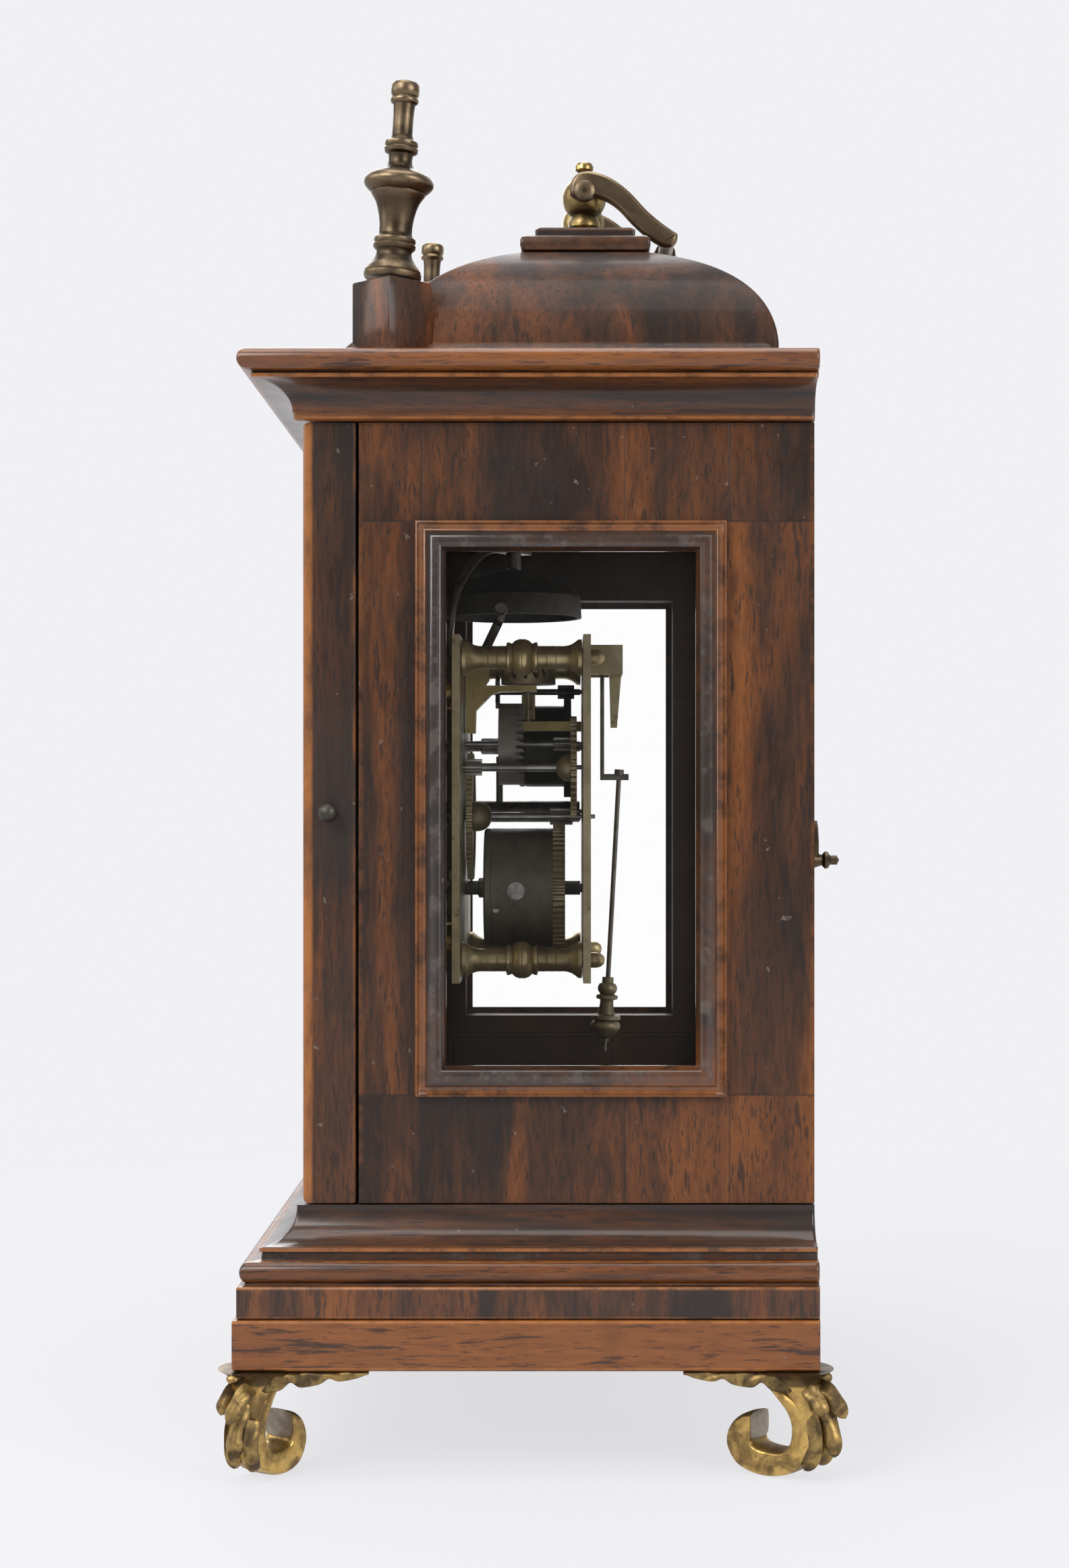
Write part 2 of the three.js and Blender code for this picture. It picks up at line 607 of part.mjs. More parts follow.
const barProfile = [
  [0, -armX0 - 1], [BAR_RADIUS, -armX0 - 1], [BAR_RADIUS, -9], [3.2, -7], [2.4, -5.6], [3.7, -2.4], [3.7, 2.4],
  [2.4, 5.6], [3.2, 7], [BAR_RADIUS, 9], [BAR_RADIUS, armX0 + 1], [0, armX0 + 1],
];
const handlePin = (sign) =>
  sideways(rod(HANDLE_PIN, Math.min(sign * (armX0 + 1), sign * (POST_SPREAD + 2)), Math.max(sign * (armX0 + 1), sign * (POST_SPREAD + 2)), 0, 0, 8));
piece(
  'carrying_handle',
  join(
    armGeometry(armX0),
    armGeometry(-armX1),
    sideways(turned(barProfile, 8)).translate(0, BAR_BACK, -BAR_DOWN),
    handlePin(1),
    handlePin(-1),
  ),
  'bronze',
  0,
  0,
  PIVOT_HEIGHT,
);

// Feet: a scroll on the diagonal of each corner, a leafy knee and two wings under the plinth

function footSolid(twist) {
  // Outer and inner radius of the scroll about its eye, from its root under the plinth round to the eye
  const sweep = [
    [128, 14.6, 12.8], [100, 14.8, 12.4], [72, 15.4, 12], [44, 16.2, 11.2], [18, 16.6, 10.2], [-8, 16.2, 9.2],
    [-34, 15.4, 8], [-60, 14.4, 6.6], [-85, 13.8, 5.2], [-110, 14, 4.4], [-135, 14.2, 4], [-160, 15, 3.8],
    [-185, 14.8, 3.8], [-208, 12.6, 3.6], [-228, 9.8, 3.4], [-248, 7.2, 3], [-270, 5.2, 2.6],
  ];
  const half = SCROLL_WIDTH / 2;
  const rings = sweep.map(([degrees, outer, inner]) => {
    const a = (degrees * Math.PI) / 180;
    const mid = (outer + inner) / 2;
    const section = [
      [outer, 0.62], [mid + (outer - mid) * 0.72, 1], [mid - (mid - inner) * 0.72, 1], [inner, 0.62],
      [inner, -0.62], [mid - (mid - inner) * 0.72, -1], [mid + (outer - mid) * 0.72, -1], [outer, -0.62],
    ];
    return section.map(([r, w]) => [
      -SCROLL_BACK + SCROLL_NARROW * r * Math.cos(a), w * half, SCROLL_EYE + r * Math.sin(a),
    ]);
  });
  const eye = rod(EYE_RADIUS, -half * 0.9, half * 0.9, -SCROLL_BACK, SCROLL_EYE, 14);
  const top = FOOT_HEIGHT - FIT;
  const knee = [
    [2.6, -1.6, -2.4, 2.4, -4, 3.4, -7], [7, 1.6, 0.8, 3, -2.2, 4.4, -6], [11.6, 4.4, 2.6, 3.8, -1.6, 5.6, -6],
    [15.8, 7, 3.8, 4.4, -2, 6.2, -7], [19.4, 5.4, 2.2, 4, -3, 6.2, -8], [22.4, 2, -1, 3.6, -5, 6.4, -11],
    [25.4, -1.6, -3.4, 4, -8, 7, -15], [27.8, -1.4, -3.4, 4.6, -9, 8.6, -16], [top, 0.6, -2, 5.4, -9.6, 10.4, -17],
  ].map(([z, tip, a, wa, b, wb, inner]) => [
    [tip, 0, z], [a, wa, z], [b, wb, z], [inner, 0, z], [b, -wb, z], [a, -wa, z],
  ]);
  const wing = (side) => {
    const along = [-Math.SQRT1_2, side * Math.SQRT1_2];
    const inward = [-Math.SQRT1_2, -side * Math.SQRT1_2];
    return loft(
      [[5, 9.5, 8], [14, 6.4, 7], [26, 3.9, 6], [WING_LENGTH, 2, 4]].map(([d, high, deep]) =>
        [[0.4, top - high], [deep, top - high], [deep, top], [0.4, top]].map(([o, z]) => [
          along[0] * d + inward[0] * o, along[1] * d + inward[1] * o, z,
        ]),
      ),
    );
  };
  const scroll = join(loft(rings), eye, loft(knee));
  const twisted = scroll.translate(SCROLL_PIVOT, 0, 0).rotate(0, 0, twist).translate(-SCROLL_PIVOT, 0, 0);
  const body = join(twisted, wing(1), wing(-1));
  return cut(body, box(-60, 60, -60, 60, -20, 0), box(-60, 60, -60, 60, top, top + 20));
}
const cornerX = HALF + PLINTH_REACH;
for (const [name, x, y, turn, twist] of [
  ['foot_front_right', cornerX, DOOR_FRONT - PLINTH_REACH, -Math.PI / 4, SCROLL_TWIST],
  ['foot_front_left', -cornerX, DOOR_FRONT - PLINTH_REACH, (-3 * Math.PI) / 4, -SCROLL_TWIST],
  ['foot_rear_right', cornerX, BACK, Math.PI / 4, SCROLL_TWIST],
  ['foot_rear_left', -cornerX, BACK, (3 * Math.PI) / 4, -SCROLL_TWIST],
]) piece(name, footSolid(twist), 'gilt', x, y, 0, turn);

// Doors turn on pins in their hinge-side corners, which are rounded about the pins

function doorSolid(width, low, high, thickness, frame, opens) {
  const outline = new THREE.Shape();
  const far = opens < 0 ? PIVOT_INSET - thickness : -PIVOT_INSET;
  if (opens < 0) {
    outline.moveTo(0, PIVOT_INSET);
    outline.absarc(0, 0, PIVOT_INSET, Math.PI / 2, Math.PI, false);
    outline.lineTo(-PIVOT_INSET, PIVOT_INSET - thickness);
    outline.lineTo(width - PIVOT_INSET, PIVOT_INSET - thickness);
    outline.lineTo(width - PIVOT_INSET, PIVOT_INSET);
  } else {
    outline.moveTo(-PIVOT_INSET, 0);
    outline.absarc(0, 0, PIVOT_INSET, Math.PI, Math.PI / 2, true);
    outline.lineTo(width - PIVOT_INSET, PIVOT_INSET);
    outline.lineTo(width - PIVOT_INSET, PIVOT_INSET - thickness);
    outline.lineTo(-PIVOT_INSET, PIVOT_INSET - thickness);
  }
  const board = new THREE.ExtrudeGeometry(outline, { depth: high - low, bevelEnabled: false, curveSegments: 4 });
  board.translate(0, 0, low);
  const pin = upright(rod(DOOR_PIN, low - DOOR_PIN_LENGTH, high + DOOR_PIN_LENGTH, 0, 0, 8));
  const [x0, x1] = [frame - PIVOT_INSET, width - PIVOT_INSET - frame];
  const [z0, z1] = [low + frame, high - frame];
  const outside = opens < 0 ? [PIVOT_INSET - thickness - 1, PIVOT_INSET - thickness + LIP_DEPTH] : [PIVOT_INSET - LIP_DEPTH, PIVOT_INSET + 1];
  const inside = opens < 0 ? [outside[1], PIVOT_INSET + 1] : [PIVOT_INSET - thickness - 1, outside[0]];
  const paneY = opens < 0 ? [inside[0] + FIT, inside[0] + FIT + GLASS] : [inside[1] - FIT - GLASS, inside[1] - FIT];
  const body = cut(
    join(board, pin),
    box(x0 + LIP, x1 - LIP, ...outside, z0 + LIP, z1 - LIP),
    box(x0, x1, ...inside, z0, z1),
  );
  const pane = box(x0 + FIT, x1 - FIT, ...paneY, z0 + FIT, z1 - FIT);
  return { body, pane, far };
}
const doorLow = BASE + 0.5;
const doorHigh = TOP - 0.5;
const frontDoor = doorSolid(CASE_WIDTH, doorLow, doorHigh, DOOR_THICKNESS, DOOR_FRAME, -1);
piece('front_door', frontDoor.body, 'wood', frontPin.x, frontPin.y, 0);
piece('front_glass', frontDoor.pane, 'glass', frontPin.x, frontPin.y, 0);
const rearDoor = doorSolid(2 * (INNER - FIT), doorLow, doorHigh, REAR_DOOR_THICKNESS, REAR_DOOR_FRAME, 1);
piece('rear_door', rearDoor.body, 'wood', rearPin.x, rearPin.y, 0);
piece('rear_glass', rearDoor.pane, 'glass', rearPin.x, rearPin.y, 0);

const knob = [[0, 0], [1.4, 0], [1.3, 1.6], [KNOB_RADIUS, 2.6], [KNOB_RADIUS, 4.4], [1.6, KNOB_REACH - 0.4], [0, KNOB_REACH]];
piece('door_knob', sideways(turned(knob, 10)), 'steel', HALF + FIT, DOOR_FRONT + DOOR_THICKNESS / 2, centre.z + 1.5);

const leaf = new THREE.Shape();
leaf.moveTo(-1.6, 0);
leaf.quadraticCurveTo(-4.2, CATCH_LEAF * 0.6, 0, CATCH_LEAF);
leaf.quadraticCurveTo(4.2, CATCH_LEAF * 0.6, 1.6, 0);
leaf.absarc(0, 0, 1.6, 0, -Math.PI, true);
const boss = turned([[0, 0.5], [2.2, 0.5], [1.5, 2.6], [2.4, 3.8], [1.3, 5], [1.3, CATCH_REACH - 0.7], [0, CATCH_REACH]], 10);
piece('turn_catch', join(slab(leaf, FIT, FIT + 1.4), boss), 'brass', HALF - PANEL / 2, BACK, BASE + CATCH_HEIGHT);

// Dial with its feet, chapter ring and hands

const around = (list) => list.map(([x, z]) => [x, z]);
const feetAt = around([[1, 1], [-1, 1], [-1, -1], [1, -1]]).map(([sx, sz]) => [sx * (PLATE_WIDTH / 2 - 5), centre.z + sz * 38]);
const dialLow = centre.z - DIAL_SIDE / 2;
const dialBlank = box(-INNER + FIT, INNER - FIT, DIAL_FACE, DIAL_BACK, dialLow, dialLow + DIAL_SIDE);
const dialHole = (at, r) => rod(r, DIAL_FACE - 1, DIAL_BACK + 1, at.x, at.z, 12);
const dialFeet = feetAt.map(([x, z]) => rod(DIAL_FOOT, DIAL_FACE + 0.5, PLATE_A - FIT, x, z, 8));
piece(
  'dial_plate',
  cut(
    join(dialBlank, ...dialFeet),
    dialHole(centre, PIPE + 1),
    dialHole(great, WINDING_HOLE),
    dialHole(alarm, WINDING_HOLE),
  ),
  'brass',
);
const ringBack = DIAL_FACE - FIT;
const ringFront = ringBack - RING_THICKNESS;
piece(
  'chapter_ring',
  turned([[RING_INNER, ringFront], [RING_OUTER, ringFront], [RING_OUTER, ringBack], [RING_INNER, ringBack], [RING_INNER, ringFront]], 36),
  'silvered',
  0,
  0,
  centre.z,
);
function handSolid(length, hub, width, hole, low) {
  const shape = polygon([
    [width, hub * 0.75], [width * 0.7, length * 0.5], [width * 2.2, length * 0.66], [width * 0.8, length * 0.8], [0, length],
    [-width * 0.8, length * 0.8], [-width * 2.2, length * 0.66], [-width * 0.7, length * 0.5], [-width, hub * 0.75],
  ]);
  const disc = turned([[hole, low], [hub, low], [hub, low + HAND_THICKNESS], [hole, low + HAND_THICKNESS], [hole, low]], 14);
  return join(disc, slab(shape, low, low + HAND_THICKNESS));
}
const hourHandY = ringFront - 1.6 - HAND_THICKNESS;
const minuteHandY = hourHandY - 1.4 - HAND_THICKNESS;
piece('hour_hand', handSolid(HOUR_HAND, 6, 2, PIPE + 0.15, hourHandY), 'steel', 0, 0, centre.z);
piece('minute_hand', handSolid(MINUTE_HAND, 4.4, 1.5, ARBOR + 0.15, minuteHandY), 'steel', 0, 0, centre.z);

// Plates and pillars

const pivots = [third, contrate, star, lever, hammer];
const bore = (at, r, from, to, sides = 8) => rod(r, from - 1, to + 1, at.x, at.z, sides);
const plate = (from, to, extra) =>
  cut(
    box(-PLATE_WIDTH / 2, PLATE_WIDTH / 2, from, to, PLATE_LOW, PLATE_HIGH),
    ...pivots.map((at) => bore(at, PIVOT + PLAY, from, to, 6)),
    ...pillars.map(([, x, z]) => bore({ x, z }, PILLAR_TENON + PLAY, from, to)),
    ...extra,
  );
piece(
  'front_plate',
  plate(PLATE_A, INSIDE_A, [
    bore(centre, ARBOR + PLAY, PLATE_A, INSIDE_A),
    bore(great, BARREL_ARBOR + PLAY, PLATE_A, INSIDE_A),
    bore(alarm, ALARM_ARBOR + PLAY, PLATE_A, INSIDE_A),
  ]),
  'brass',
);
piece(
  'back_plate',
  plate(INSIDE_B, PLATE_B, [
    bore(centre, PIVOT + PLAY, INSIDE_B, PLATE_B),
    bore(great, PIVOT * 2 + PLAY, INSIDE_B, PLATE_B),
    bore(alarm, PIVOT * 2 + PLAY, INSIDE_B, PLATE_B),
    bore(verge, VERGE + 3 * PLAY, INSIDE_B, PLATE_B),
  ]),
  'brass',
);
const pillarMid = PLATE_SPACE / 2;
const pillar = [
  [0, -PLATE], [PILLAR_TENON, -PLATE], [PILLAR_TENON, FIT], [5.5, FIT], [5.5, 1.6], [4, 3.4], [PILLAR_RADIUS, 5.4],
  [PILLAR_RADIUS, pillarMid - 4.4], [4.6, pillarMid - 4], [4.2, pillarMid - 2.8], [PILLAR_KNOP, pillarMid - 1.2],
  [PILLAR_KNOP, pillarMid + 1.2], [4.2, pillarMid + 2.8], [4.6, pillarMid + 4], [PILLAR_RADIUS, pillarMid + 4.4],
  [PILLAR_RADIUS, PLATE_SPACE - 5.4], [4, PLATE_SPACE - 3.4], [5.5, PLATE_SPACE - 1.6], [5.5, PLATE_SPACE - FIT],
  [PILLAR_TENON, PLATE_SPACE - FIT], [PILLAR_TENON, PLATE_SPACE + PLATE + PILLAR_TAIL - 1],
  [1.4, PLATE_SPACE + PLATE + PILLAR_TAIL], [0, PLATE_SPACE + PLATE + PILLAR_TAIL],
];
for (const [place, x, z] of pillars) piece(`pillar_${place}`, turned(pillar, 8), 'brass', x, INSIDE_A, z);

// Going train

const up = Math.PI / 2;
const wheelSlab = (teeth, module, phase, from, to, hub) =>
  slab(hub ? crossings(wheelShape(teeth, module, phase), hub, (teeth * module) / 2 - 2.6) : wheelShape(teeth, module, phase), from, to);
const pinionSlab = (leaves, module, phase, from, to) => slab(pinionShape(leaves, module, phase), from, to);
const tube = (inner, outer, from, to, sides) =>
  turned([[inner, from], [outer, from], [outer, to], [inner, to], [inner, from]], sides);

const greatBack = INSIDE_B - 4.2;
const greatFront = greatBack - GREAT_THICKNESS;
const drumFront = greatFront - DRUM_LENGTH;
const arborHole = (r, from, to) => rod(r, from - 1, to + 1, 0, 0, 12);
piece(
  'going_barrel',
  cut(
    join(
      wheelSlab(GREAT_TEETH, GREAT_MODULE, up, greatFront, greatBack),
      turned([[0, drumFront], [DRUM_RADIUS - 0.6, drumFront], [DRUM_RADIUS, drumFront + 0.6], [DRUM_RADIUS, greatFront + 0.5], [0, greatFront + 0.5]], 20),
    ),
    arborHole(BARREL_ARBOR + PLAY, drumFront, greatBack),
  ),
  'brass',
  great.x,
  0,
  great.z,
);
function windingArbor(radius, drum, backPivot, ratchet) {
  const shaft = turned(
    [
      [0, DIAL_FACE - 1], [SQUARE * 0.6, DIAL_FACE - 1], [SQUARE * 0.6, PLATE_A - 8], [radius, PLATE_A - 7], [radius, INSIDE_A + 4],
      [radius + 0.9, INSIDE_A + 4.4], [radius + 0.9, drum - FIT], [radius, drum - FIT], [radius, INSIDE_B - 0.6],
      [PIVOT * 2, INSIDE_B - 0.6], [PIVOT * 2, PLATE_B + 0.3], [0, PLATE_B + 0.3],
    ],
    8,
  );
  const square = box(-SQUARE / 2, SQUARE / 2, DIAL_FACE - 1.5, PLATE_A - 7.5, -SQUARE / 2, SQUARE / 2);
  const points = [];
  for (let k = 0; k < RATCHET_TEETH; k += 1) {
    const a = (2 * Math.PI * k) / RATCHET_TEETH;
    points.push(polar(ratchet, a), polar(ratchet - 1.3, a + 0.04));
  }
  const wheel = slab(polygon(points), PLATE_A - 1 - RATCHET_THICKNESS, PLATE_A - 1);
  return join(shaft, square, wheel);
}
piece('barrel_arbor', windingArbor(BARREL_ARBOR, drumFront, greatBack, RATCHET_RADIUS), 'steel', great.x, 0, great.z);
const clickX = great.x + RATCHET_RADIUS + 3.4;
const clickZ = great.z - CLICK_LENGTH * 0.6;
const clickShape = polygon([[-2, -1.6], [1.6, -2.2], [2.2, 1], [0.4, 4], [-2.6, CLICK_LENGTH * 0.75], [-2.9, CLICK_LENGTH * 0.72], [-2, 3]]);
piece(
  'click',
  join(slab(clickShape, PLATE_A - 1 - RATCHET_THICKNESS, PLATE_A - 1), rod(CLICK_PIVOT, PLATE_A - 3.6, PLATE_A - FIT, 0, 0, 8)),
  'steel',
  clickX,
  0,
  clickZ,
);

const toThird = Math.atan2(third.z - centre.z, third.x - centre.x);
const centreFront = INSIDE_A + 0.9;
const centreBack = centreFront + WHEEL_THICKNESS;
const cannonFront = PLATE_A - 6;
const cannonBack = PLATE_A - 2.4;
piece(
  'centre_arbor',
  join(
    wheelSlab(CENTRE_TEETH, CENTRE_MODULE, toThird, centreFront, centreBack, 5.4),
    pinionSlab(CENTRE_LEAVES, GREAT_MODULE, -up, greatFront - 1, greatBack + 1.2),
    pinionSlab(CANNON_LEAVES, CANNON_MODULE, 0, cannonFront, cannonBack),
    turned(
      [
        [0, minuteHandY - 0.8], [ARBOR, minuteHandY - 0.8], [ARBOR, centreFront + 0.4], [4.6, centreBack - 0.3], [4.4, centreBack + 1.6],
        [3.2, centreBack + 3.6], [ARBOR, centreBack + 4.8], [ARBOR, INSIDE_B - 0.5], [PIVOT, INSIDE_B - 0.5],
        [PIVOT, PLATE_B + 1.8], [0, PLATE_B + 1.8],
      ],
      10,
    ),
  ),
  'brass',
  centre.x,
  0,
  centre.z,
);

const toContrate = Math.atan2(contrate.z - third.z, contrate.x - third.x);
const thirdBack = INSIDE_B - 1.2;
const thirdFront = thirdBack - WHEEL_THICKNESS;
const pivotEnds = (from, to) => [[0, PLATE_A + 0.3], [PIVOT, PLATE_A + 0.3], [PIVOT, from], [ARBOR, from], [ARBOR, to], [PIVOT, to], [PIVOT, PLATE_B - 0.3], [0, PLATE_B - 0.3]];
piece(
  'third_arbor',
  join(
    wheelSlab(THIRD_TEETH, THIRD_MODULE, toContrate, thirdFront, thirdBack, 4.2),
    pinionSlab(THIRD_LEAVES, CENTRE_MODULE, toThird + Math.PI, INSIDE_A + 0.6, centreBack + 3),
    turned(pivotEnds(INSIDE_A + 0.5, INSIDE_B - 0.5), 6),
    turned([[0, thirdFront - 4], [1.6, thirdFront - 4], [3, thirdFront - 0.6], [3, thirdFront + 0.4], [0, thirdFront + 0.4]], 10),
  ),
  'brass',
  third.x,
  0,
  third.z,
);

const contrateStations = [];
const crownStep = (2 * Math.PI) / CONTRATE_TEETH;
for (let k = 0; k < CONTRATE_TEETH; k += 1) {
  const a = up + k * crownStep;
  contrateStations.push([a, CONTRATE_TIP], [a + crownStep * 0.5, CONTRATE_ROOT]);
}
// The toothed ring is laid out about Z and turned over to lie about Y, its upper side kept upwards
const layBack = (geometry) => geometry.rotateX(-Math.PI / 2).rotateY(Math.PI).rotateZ(0);
const contrateRing = layBack(
  toothedRing(CONTRATE_PITCH - CONTRATE_RIM / 2, CONTRATE_PITCH + CONTRATE_RIM / 2, CONTRATE_FRONT, contrateStations),
);
piece(
  'contrate_arbor',
  join(
    contrateRing,
    turned(
      [[0, CONTRATE_FRONT], [CONTRATE_PITCH, CONTRATE_FRONT], [CONTRATE_PITCH, CONTRATE_FRONT + 1.2], [3, CONTRATE_FRONT + 1.2], [2.6, CONTRATE_FRONT + 3], [0, CONTRATE_FRONT + 3]],
      18,
    ),
    pinionSlab(CONTRATE_LEAVES, THIRD_MODULE, toContrate + Math.PI, thirdFront - 5, thirdBack + 0.4),
    turned(pivotEnds(INSIDE_A + 0.5, INSIDE_B - 0.5).map(([r, y]) => [Math.min(r, 1), y]), 6),
  ),
  'brass',
  contrate.x,
  0,
  contrate.z,
);

// Crown wheel, upright, between its two potences

const crownStations = [];
for (let k = 0; k < CROWN_TEETH; k += 1) {
  const a = (2 * Math.PI * k) / CROWN_TEETH;
  const step = (2 * Math.PI) / CROWN_TEETH;
  crownStations.push([a, CROWN_TIP], [a + step * 0.12, CROWN_TIP], [a + step * 0.9, CROWN_FLOOR + 1.4]);
}
const crownLeaves = new THREE.ExtrudeGeometry(pinionShape(CROWN_LEAVES, CONTRATE_MODULE, -up), {
  depth: CROWN_LEAF_HIGH - CROWN_LEAF_LOW,
  bevelEnabled: false,
}).translate(0, 0, CROWN_LEAF_LOW);
const crownShaft = upright(
  turned(
    [
      [0, CROWN_LEAF_LOW - 2.4], [PIVOT, CROWN_LEAF_LOW - 2.4], [PIVOT, CROWN_LEAF_LOW - 0.4], [1, CROWN_LEAF_LOW - 0.4], [1, CROWN_LEAF_HIGH + 0.4],
      [PIVOT, CROWN_LEAF_HIGH + 0.4], [PIVOT, CROWN_FLOOR], [CROWN_RADIUS - 0.5, CROWN_FLOOR], [CROWN_RADIUS - 0.5, CROWN_FLOOR + 1], [0, CROWN_FLOOR + 1],
    ],
    10,
  ),
);
piece(
  'crown_wheel',
  join(toothedRing(CROWN_RADIUS - 1.1, CROWN_RADIUS, CROWN_FLOOR, crownStations), crownLeaves, crownShaft),
  'brass',
  contrate.x,
  CROWN_AXIS,
  0,
);
const armLow = CROWN_LEAF_HIGH + 0.7;
const armHigh = CROWN_FLOOR - 0.4;
const potenceFront = INSIDE_A + FIT;
const sheet = (points, x0, x1) =>
  new THREE.ExtrudeGeometry(polygon(points), { depth: x1 - x0, bevelEnabled: false })
    .rotateX(Math.PI / 2)
    .rotateZ(Math.PI / 2)
    .translate(x0, 0, 0);
const lugBack = potenceFront + 7.4;
piece(
  'front_potence',
  cut(
    sheet(
      [
        [potenceFront, contrate.z + 3.4], [potenceFront + 3, contrate.z + 3.4], [potenceFront + 3.2, armLow - 6], [potenceFront + 8, armLow - 1], [potenceFront + 11, armLow],
        [CROWN_AXIS + 2.6, armLow], [CROWN_AXIS + 2.6, armHigh], [potenceFront + 6, armHigh], [lugBack, armHigh + 2],
        [lugBack, verge.z + 2.6], [potenceFront, verge.z + 2.6],
      ],
      -3.4,
      3.4,
    ),
    rod(VERGE + PLAY, potenceFront - 1, lugBack + 1, verge.x, verge.z, 8),
    upright(rod(PIVOT + PLAY, armLow - 1, armHigh + 1, 0, 0, 8)).translate(contrate.x, CROWN_AXIS, 0),
    rod(PIVOT + 1.3, potenceFront - 1, potenceFront + 6, contrate.x, contrate.z, 8),
  ),
  'brass',
);
const footHigh = CROWN_LEAF_LOW - 0.7;
const footLow = footHigh - 3;
piece(
  'rear_potence',
  cut(
    box(contrate.x - 6.4, contrate.x + 1.6, CROWN_AXIS - 2.4, INSIDE_B - FIT, footLow, footHigh),
    upright(rod(PIVOT + PLAY, footLow - 1, footHigh + 1, 0, 0, 8)).translate(contrate.x, CROWN_AXIS, 0),
  ),
  'brass',
);

// Verge with its crutch, pendulum and bob; the cock behind the back plate

const crutchY = PLATE_B + CRUTCH_BACK;
const cockY = PLATE_B + FIT;
const bridgeY = cockY + COCK_REACH - COCK_BRIDGE;
const palletAt = (y, lean) =>
  box(-0.45, 0.45, y - 1.1, y + 1.1, -PALLET, 0).rotateY(lean);
const vergeFront = potenceFront + 0.6 - CROWN_AXIS;
const staff = turned(
  [
    [0, potenceFront + 0.6], [VERGE, potenceFront + 0.6], [VERGE, crutchY + CRUTCH_THICKNESS + 0.6], [PIVOT, crutchY + CRUTCH_THICKNESS + 0.6],
    [PIVOT, cockY + COCK_REACH - 0.8], [0, cockY + COCK_REACH - 0.8],
  ],
  8,
);
const palletReach = CROWN_RADIUS - 0.5;
const crutchLow = -CRUTCH_DROP;
const rodTop = { y: crutchY + 6, z: crutchLow + 1.2 };
const hang = (geometry) => geometry.rotateX(-ROD_LEAN).translate(0, rodTop.y, rodTop.z);
piece(
  'verge_and_pendulum',
  join(
    staff,
    palletAt(CROWN_AXIS - palletReach, 0.78),
    palletAt(CROWN_AXIS + palletReach, -0.78),
    box(-1.5, 1.5, crutchY, crutchY + CRUTCH_THICKNESS, crutchLow - 1, 1.8),
    box(-1.2, 1.2, crutchY, crutchY + 9, crutchLow - 1, crutchLow + 1),
    hang(upright(rod(ROD, -ROD_LENGTH, 0, 0, 0, 8))),
    hang(upright(rod(1.5, -0.6, 1.2, 0, 0, 8))),
  ),
  'steel',
  verge.x,
  0,
  verge.z,
);
const bobProfile = [
  [ROD + 0.25, 0], [1.8, 0], [1.8, -1.8], [3, -2.6], [3, -4.6], [2.2, -5.4], [3.4, -5.8], [3.4, -6.8], [2.1, -7.2], [2.7, -11.8],
  [4.6, -12.2], [4.6, -13.2], [3.6, -13.6], [4.6, -15], [4.4, -16.6], [2.6, -18.6], [1.2, -19.4], [1.2, -20.4], [ROD + 0.25, -20.4], [ROD + 0.25, 0],
];
const bobDrop = ROD_LENGTH - BOB_SEAT - 1.2;
piece(
  'pendulum_bob',
  upright(turned(bobProfile, 8)).rotateX(-ROD_LEAN),
  'brass',
  verge.x,
  rodTop.y - bobDrop * Math.sin(ROD_LEAN),
  verge.z + rodTop.z - bobDrop * Math.cos(ROD_LEAN),
);
const cockLow = verge.z - COCK_HEIGHT / 2;
const tailShape = [
  [bridgeY + 0.2, cockLow + 1], [bridgeY + 0.6, cockLow - 16.4], [bridgeY + 2.6, cockLow - 16.4], [bridgeY + COCK_BRIDGE - 0.2, cockLow + 1],
];
piece(
  'back_cock',
  cut(
    join(
      box(-COCK_WIDTH / 2, COCK_WIDTH / 2, cockY, cockY + COCK_REACH, cockLow, cockLow + COCK_HEIGHT),
      sheet(tailShape, -2.2, 2.2),
    ),
    box(-COCK_WIDTH / 2 + 4, COCK_WIDTH / 2 - 4, cockY - 1, bridgeY, cockLow - 1, cockLow + COCK_HEIGHT + 1),
    rod(PIVOT + PLAY, bridgeY - 1, cockY + COCK_REACH + 1, verge.x, verge.z, 8),
  ),
  'brass',
);

// Motion work between the plate and the dial

const minuteFront = cannonFront + 0.9;
const minuteBack = minuteFront + 1.5;
const hourBack = cannonFront - 0.8;
const hourFront = hourBack - 1.5;
piece(
  'minute_wheel',
  join(
    wheelSlab(MINUTE_TEETH, CANNON_MODULE, Math.PI, minuteFront, minuteBack),
    pinionSlab(MINUTE_LEAVES, MINUTE_MODULE, Math.PI, hourFront - 0.6, minuteFront + 0.2),
    rod(1.1, hourFront - 1.4, PLATE_A - FIT, 0, 0, 8),
  ),
  'brass',
  minute.x,
  0,
  minute.z,
);
piece(
  'hour_wheel',
  cut(
    join(wheelSlab(HOUR_TEETH, MINUTE_MODULE, 0, hourFront, hourBack), rod(PIPE, hourHandY - 0.5, hourBack - 0.2, 0, 0, 12)),
    rod(ARBOR + PLAY, hourHandY - 2, hourBack + 2, 0, 0, 10),
  ),
  'brass',
  centre.x,
  0,
  centre.z,
);

// Alarm train, bell and hammer

